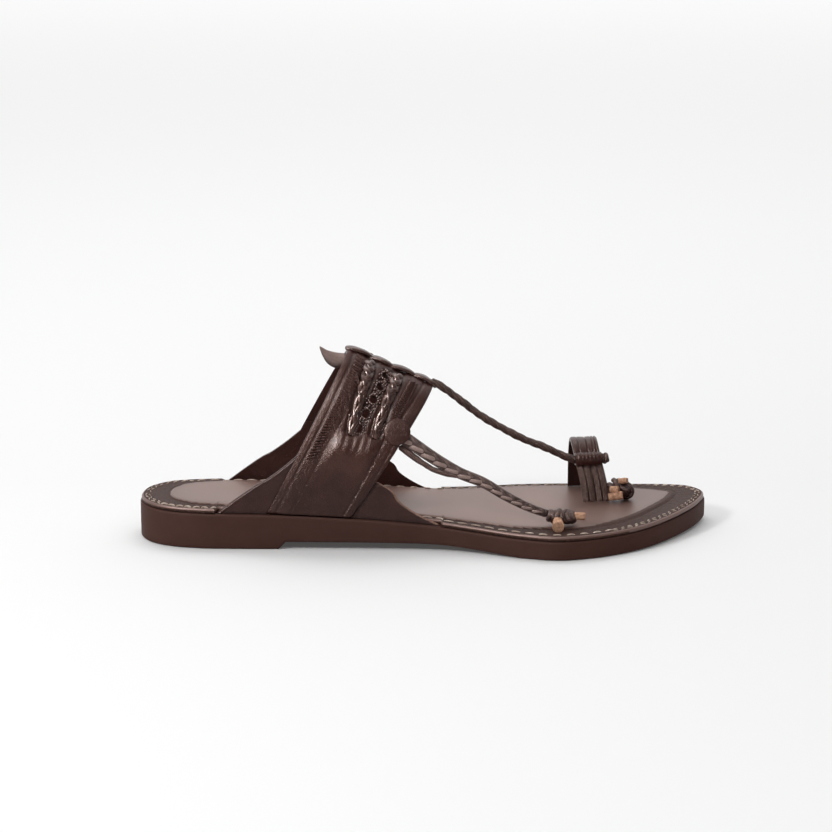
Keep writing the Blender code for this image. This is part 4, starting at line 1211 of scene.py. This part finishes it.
def toe_ring(strap, grain):
    """The big toe's loop: a grooved strip, a pleated roll on its near leg and four coarse strips below it."""
    line = even(ring_line(200), 150)
    out = ring_frame(line)
    way = ring_way()
    floor = pad_top(RING_PLACE) + GAP
    start = int(np.abs(line[:75, 2] - floor - ROLL_HEIGHT).argmin())
    across = np.linspace(-0.5, 0.5, 61)
    strip, below = [], []
    for point, outwards in zip(line[start:], out[start:]):
        groove = sum(hump((across - g) * RING_WIDTH, 0.3) for g in LOOP_GROOVES)
        edge = hump((0.5 - np.abs(across)) * RING_WIDTH, 0.4)
        lift = 0.45 * groove + 0.5 * edge + 0.10 * np.cos(across * 9)
        strip.append(point + np.outer(across * RING_WIDTH, way) - np.outer(0.25 - lift, outwards))
        below.append(point + np.outer(across * RING_WIDTH, way) + outwards * (RING_WALL - 0.4))
    points, faces, _, used = shell_of(np.array(strip), np.array(below))
    # The grooves are darker, partly antique dye and partly painted shade; the strip's inner face is darker
    # too
    tone = np.tile(0.55 - 0.4 * sum(hump((across - g) * RING_WIDTH, 0.4) for g in LOOP_GROOVES), len(strip))
    tone = np.concatenate([tone, np.full(tone.size, 0.2)])[used]
    add("toe_loop", points, faces, strap, ["toe_ring"], sharp=55, tone=tone)

    parts = []
    legs = line[:start + 3]
    outs = out[:start + 3]
    t = np.linspace(0, 1, len(legs))
    for number in range(4):
        spread = ((number + 0.5) / 4 - 0.5) * RING_WIDTH
        path = legs + np.outer(spread * (1.0 + 0.04 * (1 - t)), way) - outs * (0.1 + 0.2 * (number % 2))
        wide = 3.45 * (0.95 + 0.07 * np.sin(math.pi * t))
        tilt = -outs + way * (0.25 if number % 2 else -0.2)
        parts.append(strand(path + outs * 0.75, wide, 1.75, tilt, count=16, cap=0.2, square=0.6))
    across = np.linspace(-0.47, 0.47, 9)
    back = [[leg + way * RING_WIDTH * a + o * deep for a in across]
            for deep in (0.9, 2.0) for leg, o in zip(legs, outs)]
    half = len(legs)
    sheet, sides, _, _ = shell_of(np.array(back[:half]), np.array(back[half:]))
    parts.append((sheet, sides.tolist()))
    add_parts("toe_loop_strips", parts, grain, ["toe_ring"], sharp=60)

    middle = roll_middle()
    side = np.cross(UP, way)
    turns = turns_of(72)
    rings, inner = [], []
    for end in np.linspace(-1, 1, 41):
        pleat = 0.28 * abs(math.sin(end * 11)) * np.clip(np.sin(turns) + 0.3, 0, 1)
        radius = ROLL_RADIUS * (1 - 0.10 * abs(end) ** 6) + pleat - 0.2
        place = middle + way * end * RING_WIDTH / 2
        rings.append(place + circle(turns, radius, side))
        inner.append(place + circle(turns, CORD_RADIUS + GAP, side))
    outside, bore = (np.array([np.vstack([ring, ring[:1]]) for ring in grid]) for grid in (rings, inner))
    points, faces, _, _ = shell_of(outside, bore)
    points, faces = weld(points, faces)
    tone = 0.5 + 0.3 * ripple(points, 1.6)
    add("toe_loop_roll", points, faces, strap, ["toe_ring"], sharp=60, tone=tone)


def weld(points, faces):
    """Makes points that lie together one, and drops faces that collapse or are doubled."""
    _, first, index = np.unique(np.round(points, 4), axis=0, return_index=True, return_inverse=True)
    faces = index.ravel()[faces]
    keys = np.sort(faces, axis=1)
    _, where, counts = np.unique(keys, axis=0, return_inverse=True, return_counts=True)
    lone = counts[where.ravel()] == 1
    whole = np.array([len(set(face)) == len(face) for face in faces.tolist()])
    return points[first], faces[lone & whole]


# Cords

def cord_line():
    """The toe cord's route from the band's front edge through the roll on the toe ring."""
    start = on_band(90, 1.0, 1, BAND_OUTSIDE + 2 * GAP) + (3.4, 0, -1.6)
    middle, way = roll_middle(), ring_way()
    entry = middle - way * (RING_WIDTH / 2 + 3)
    route = [start + (entry - start) * shares for shares in CORD_PATH[:-1]]
    before = on_band(90, 0.97, 1, BAND_OUTSIDE + 0.9)
    route = [before, *route, middle - way * RING_WIDTH / 2, middle, middle + way * (RING_WIDTH / 2 + 0.5)]
    return even(smooth(route, 300), 260)


def twisted(line, radius, strands, pitch, fill=1.0):
    """Strands twisted round a line."""
    ahead = directions(line)
    side = unit(np.cross(UP, ahead))
    up = np.cross(ahead, side)
    run = run_along(line)
    radius = np.broadcast_to(np.asarray(radius, float), (len(line),))
    parts = []
    for number in range(strands):
        turn = 2 * math.pi * (run / pitch + number / strands)
        out = side * np.cos(turn)[:, None] + up * np.sin(turn)[:, None]
        path = line + out * (radius * 0.47)[:, None]
        parts.append(strand(path, radius * 1.25 * fill, radius * 1.05 * fill, out, count=10, cap=0.8))
    return parts


def toe_cord(material):
    """Three strands twisted from the band to the toe ring's roll, and the turns that stop them beyond it."""
    line = cord_line()
    wobble = 1 + 0.05 * np.sin(np.linspace(0, 40, len(line)))
    parts = twisted(line, CORD_RADIUS * wobble, 3, 17.0)
    middle, way = roll_middle(), ring_way()
    side = np.cross(UP, way)
    turns = turns_of(24)
    for along, radius, tilt in ((0.7, 1.5, 0.5), (1.9, 1.75, -0.4), (2.9, 1.1, 0.3)):
        at = middle + way * (RING_WIDTH / 2 + GAP + along)
        path = at + circle(turns, radius, side, 1.15)
        path += np.outer(np.cos(turns + 1.0) * tilt, way)
        parts.append(loop(path, 1.9, 1.9, way, 10))
    heart = middle + way * (RING_WIDTH / 2 + GAP + 1.8)
    parts.append(bead(heart, (2.0, 1.9, 2.2), UP, way, 8, 14))
    add_parts("twisted_toe_cord", parts, material, ["toe_cord"], tone=(0.5, 0.4, 2.4))


def knot_middle(place):
    x, y = place[0] * LENGTH, place[1] * BALL_WIDTH
    return np.array([x, y, pad_top(x) + GAP + KNOT_RADIUS])


def braid_line(count):
    root = on_band(BRAID_ROOT_ANGLE, 1.0, -1, BAND_OUTSIDE / 2) + (1.5, 0.0, -0.4)
    end = knot_middle(SIDE_KNOT_PLACE) + np.array([-1.14, 0.0, 0.37]) * KNOT_RADIUS
    return smooth([root + (end - root) * shares for shares in BRAID_PATH], count)


def braid_frame(line):
    ahead = directions(line)
    side = unit(np.cross(UP, ahead))
    return ahead, side, np.cross(ahead, side)


def side_braid(material):
    """A flat braid: long slanting facets over a dark middle, which tapers to its knot."""
    line = even(braid_line(300), 240)
    line = np.vstack([line[:1] - (line[6] - line[0]), line])
    ahead, side, up = braid_frame(line)
    run = run_along(line)
    width = BRAID_WIDTH_ROOT + run / run[-1] * (BRAID_WIDTH_END - BRAID_WIDTH_ROOT)
    parts = [strand(line, width * 0.86, 2.3 - 0.4 * run / run[-1], side, count=14, cap=0.6, square=0.7)]
    # Painted light and shade: the middle and edge strands are dark as painted shade between the facets, the
    # long facets light as a painted highlight and the short ones darker
    tones = [np.full(len(parts[0][0]), 0.02)]
    for edge in (-0.42, 0.42):
        path = line + up * (edge * width)[:, None]
        parts.append(strand(path, 1.15 * width / BRAID_WIDTH_ROOT, 2.2, side, count=8, cap=0.6))
        tones.append(0.14 + 0.2 * ripple(parts[-1][0], 2.0))
    at = 1.5
    while at < run[-1] - 2:
        here = int(np.searchsorted(run, at))
        size = width[here] / BRAID_WIDTH_ROOT
        for face in (-1, 1):
            for shift, lean, length, wide, out, tone in ((-0.10, 0.24, 3.9, 2.5, 1.0, 0.9),
                                                         (0.24, -0.42, 2.6, 1.7, 0.75, 0.3)):
                middle = line[here] + up[here] * shift * width[here] + side[here] * face * out
                middle = middle + ahead[here] * (0.0 if shift < 0 else 3.4 * size)
                way = ahead[here] + lean * up[here]
                path = middle + np.outer(np.linspace(-1, 1, 9), way) * length * size
                path = path - np.outer(np.linspace(-1, 1, 9) ** 2 * 0.5, side[here] * face)
                out_of = side[here] * face
                parts.append(strand(path, wide * size, 1.0, out_of, count=10, cap=0.7, square=0.75))
                tones.append(tone + 0.15 * ripple(parts[-1][0], 1.5))
        at += 7.2 * size ** 0.7
    points, faces = join(parts)
    add("plaited_side_braid", points, faces, material, ["side_braid"], tone=np.concatenate(tones))


def side_strand(material):
    """A loose strand, which leaves the disc below the braid and tucks under it further on."""
    line = even(braid_line(300)[:110], 60)
    _, side, up = braid_frame(line)
    t = np.linspace(0, 1, len(line))
    drop = BRAID_WIDTH_ROOT / 2 + STRAND_RADIUS + GAP - 0.6 * t - 2.6 * np.clip(t - 0.6, 0, 1) / 0.4
    path = line - up * (drop + 0.6 * np.sin(math.pi * t))[:, None]
    wide = 3.2 + 0.3 * np.sin(math.pi * t * 3) - 1.3 * t ** 4
    add_parts("loose_strand", [strand(path, wide, 2.3, side, count=14, cap=0.8)], material,
              ["side_strand"], tone=(0.55, 0.4, 2.0), lumps=(0.12, 2.6, (0.2, 0.4, 1.0)))


# Knots

def ring_round(middle, axis, radius, squash=1.0, lean=0.0, count=32):
    """A closed path round an axis."""
    axis = unit(np.asarray(axis, float))
    side = unit(np.cross(UP, axis))
    up = np.cross(axis, side)
    turns = turns_of(count)
    return (middle + np.outer(np.cos(turns) * radius, side) + np.outer(np.sin(turns) * radius * squash, up)
            + np.outer(np.cos(turns + 0.6) * lean, axis))


def raw_end(start, finish_at, radius, flare=0.0):
    """The cut end of a thong: a short uneven bar with a flat tip."""
    start, finish_at = np.asarray(start, float), np.asarray(finish_at, float)
    line = even(np.array([start, finish_at]), 15)
    t = np.linspace(0, 1, 15)
    size = radius * (1 + flare * t) * np.where(t > 0.97, 0.93, 1.0)
    points, faces = strand(line, 2 * size, 2 * size, (0.1, 0.2, 1.0), count=28, cap=0.0, square=0.85)
    return points + 0.16 * np.column_stack([ripple(points, 0.9, k) for k in (0.0, 2.0, 4.0)]), faces


def knot(which, middle, turns, lumps, ends, cord, raw):
    """Broad turns of thong round a few lumps, and the raw ends that stand out of them. turns gives the shift,
    axis, radius, squash, lean and width of each turn, lumps the shift and radii of each lump, and ends the
    start, tip, radius and flare of each raw end."""
    parts = []
    for shift, axis, radius, squash, lean, wide in turns:
        path = ring_round(middle + np.array(shift, float), axis, radius, squash, lean, 40)
        parts.append(loop(path, wide, 1.9, axis, 12))
    for shift, radii in lumps:
        parts.append(bead(middle + np.array(shift), radii, UP, np.array((1.0, 0, 0)), 8, 14))
    add_parts(f"{which}_knot_wraps", parts, cord, [f"knot_{which}"], tone=(0.4, 0.45, 1.6),
              lumps=(0.14, 2.0, (0.5, 1.0, 1.0)))
    parts = [raw_end(middle + start, middle + tip, *sizes) for start, tip, *sizes in ends]
    add_parts(f"{which}_knot_ends", parts, raw, [f"knot_{which}"], sharp=50)


def knot_side(cord, raw):
    """The knot that ends the side braid."""
    r = KNOT_RADIUS
    turns = (
        ((-3.4, 0, 0.6), (1, 0.1, -0.3), r - 2.0, 0.95, 0.2, 2.6),
        ((-1.6, 0, 0), (1, 0.25, 0.3), r - 1.2, 0.95, 0.3, 3.0),
        ((0.8, 0.1, 0), (1, -0.2, -0.35), r - 0.95, 1.0, 0.4, 3.0),
        ((2.6, 0.2, 0), (1, 0.1, 0.25), r - 1.2, 0.95, 0.2, 2.6),
        ((r + 0.8, 0.4, -0.1), (1, -0.6, 0.5), r - 1.1, 0.95, 0.3, 3.0),
        ((r + 2.6, 0.4, -0.2), (1, -0.3, 0.6), r - 1.2, 0.92, 0.3, 2.8),
        ((r + 4.0, 0.5, -0.2), (1, 0.2, 0.2), r - 1.9, 0.95, 0.2, 2.2),
    )
    lumps = (
        ((0, 0, 0), (r * 1.05, r * 0.84, r * 0.84)),
        ((r * 1.45, 0.5, -0.2), (r * 0.95, r * 0.82, r * 0.78)),
    )
    ends = (
        ((0.4, -2.8, -1.2), (0.6, -10.0, -2.6), 2.2, 0.35),
        ((6, 0.2, 0.2), (14.2, -1.0, 0.5), 1.9),
    )
    knot("side", knot_middle(SIDE_KNOT_PLACE), turns, lumps, ends, cord, raw)


def knot_toe(cord, raw):
    """The knot beside the toe ring."""
    r = KNOT_RADIUS
    turns = (
        ((-1.6, 0.6, 0.2), (1, 0.5, 0.4), r - 1.1, 1.0, 0.3, 3.0),
        ((0.4, 0.6, 0.4), (1, 0.2, -0.3), r - 1.0, 1.05, 0.3, 3.0),
        ((2.6, 0.8, 0.2), (1, -0.3, 0.3), r - 1.2, 1.0, 0.3, 2.8),
        ((r + 1.2, 0.6, 0.0), (0.35, 1, 0.2), r - 0.6, 1.1, 0.3, 2.6),
        ((r + 0.6, 0.9, 0.8), (0.6, 0.3, 1.0), r - 1.0, 0.95, 0.4, 2.6),
        ((0.8, 1.6, r * 0.8), (1, 0.3, 0.8), r * 0.55, 1.0, 0.2, 2.6),
    )
    lumps = (
        ((0, 0.3, 0.1), (r * 0.9, r * 0.85, r * 0.88)),
        ((r * 0.5, 1.5, r * 0.7), (r * 0.75, r * 0.75, r * 0.7)),
        ((r, 1.0, -0.3), (r * 0.85, r * 0.9, r * 0.85)),
    )
    ends = (
        ((-3.4, -4.2, -2.3), (3.6, -5.0, -1.0), 1.9, 0.12),
        ((-2.4, -2.6, 1.3), (1.6, -4.4, 1.9), 1.5, 0.1),
        ((2.2, 0, r * 1.15), (6.0, -2.2, r * 1.4), 1.45),
    )
    middle = knot_middle(TOE_KNOT_PLACE) + np.array((-1.6, 0.0, 0.4))
    knot("toe", middle, turns, lumps, ends, cord, raw)


# Stage

CAMERA_LENS = 125.3
CAMERA_SENSOR = 36.0
CAMERA_PLACE = (-0.0046, -1.4043, 0.4105)
CAMERA_TILT = 76
FLOOR_NEAR_AND_MIDDLE = (-2.9, 0.0)
FLOOR_SHADES = (0.76, 1.0)
FLOOR_GLOW = (0.06, 0.27)
LIGHT_TARGET = (0, 0, 0.03)
# Name, place and size in metres, and power in watts
LIGHTS = (
    ("overhead", (-0.1, 0.6, 1.4), (1.0, 0.5), 5.0),
    ("key", (-0.95, -0.75, 0.95), (0.25, 0.3), 9.0),
    ("gloss_card_1", (-0.85, -0.8, 0.85), (0.3, 0.4), 27.0),
    ("gloss_card_2", (-0.32, -1.0, 0.98), (0.2, 0.3), 8.5),
    ("front", (0.8, -1.2, 1.2), (0.4, 0.4), 1.2),
)


def floor():
    """A pale floor, which darkens and glows less towards the camera."""
    bpy.ops.mesh.primitive_plane_add(size=16, location=(0, 3.0, -0.0001))
    made = bpy.context.object
    made.name = "floor"
    paint = bpy.data.materials.new("floor_white")
    paint.use_nodes = True
    tree = paint.node_tree
    shader = tree.nodes["Principled BSDF"]
    shader.inputs["Roughness"].default_value = 0.9
    shader.inputs["Specular IOR Level"].default_value = 0.1
    shader.inputs["Emission Color"].default_value = (1, 1, 1, 1)
    apart = tree.nodes.new("ShaderNodeSeparateXYZ")
    tree.links.new(tree.nodes.new("ShaderNodeTexCoord").outputs["Object"], apart.inputs[0])
    for key, shades in (("Base Color", FLOOR_SHADES), ("Emission Strength", FLOOR_GLOW)):
        tree.links.new(ranged(tree, apart.outputs["Y"], *FLOOR_NEAR_AND_MIDDLE, *shades), shader.inputs[key])
    made.data.materials.append(paint)


def studio():
    """A white surround, brighter behind the sandal and overhead."""
    world = bpy.data.worlds.new("studio")
    bpy.context.scene.world = world
    world.use_nodes = True
    tree = world.node_tree
    back = tree.nodes["Background"]
    split = tree.nodes.new("ShaderNodeSeparateXYZ")
    tree.links.new(tree.nodes.new("ShaderNodeTexCoord").outputs["Generated"], split.inputs[0])
    behind = ranged(tree, split.outputs["Y"], -0.3, 0.7, 0.03, 1.0)
    above = ranged(tree, split.outputs["Z"], 0.3, 0.95, 0.0, 0.55)
    tree.links.new(maths(tree, "ADD", behind, above), back.inputs["Strength"])
    back.inputs["Color"].default_value = (1, 1, 1, 1)


def lights():
    """Soft lights that face the sandal. A gloss card shows only in its sheen."""
    for name, place, size, power in LIGHTS:
        data = bpy.data.lights.new(name, "AREA")
        data.shape = "RECTANGLE"
        data.size, data.size_y = size
        data.energy = power
        made = bpy.data.objects.new(name, data)
        bpy.context.scene.collection.objects.link(made)
        made.location = place
        made.rotation_euler = Vector(np.subtract(LIGHT_TARGET, place)).to_track_quat("-Z", "Y").to_euler()
        made.visible_diffuse = not name.startswith("gloss_card")


def camera():
    """The photograph's viewpoint."""
    data = bpy.data.cameras.new("camera")
    data.lens = CAMERA_LENS
    data.sensor_width = CAMERA_SENSOR
    made = bpy.data.objects.new("camera", data)
    bpy.context.scene.collection.objects.link(made)
    made.location = CAMERA_PLACE
    made.rotation_euler = (math.radians(CAMERA_TILT), 0, 0)
    bpy.context.scene.camera = made
    bpy.context.scene.view_settings.view_transform = "Standard"


for old in list(bpy.data.objects):
    bpy.data.objects.remove(old)
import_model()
camera()
floor()
studio()
lights()
looks = make_finishes()
outsole(looks["rubber"])
insole(looks["footbed"], looks["footbed_border"])
stitches(looks["thread"])
band(looks["strap"])
ears(looks["strap"], looks["raw_edge"])
tooling(looks["strap"])
lacework(looks["plait"])
for foot_side in (-1, 1):
    for row_name in PLAITS:
        plait(row_name, foot_side, looks["plait"])
side_disc(looks["strap"])
spine_thong(looks["plait"])
tail_leaf(looks["braid"])
toe_ring(looks["strap"], looks["coarse_grain"])
toe_cord(looks["cord"])
side_braid(looks["braid"])
side_strand(looks["cord"])
knot_side(looks["cord"], looks["raw_leather"])
knot_toe(looks["cord"], looks["raw_leather"])
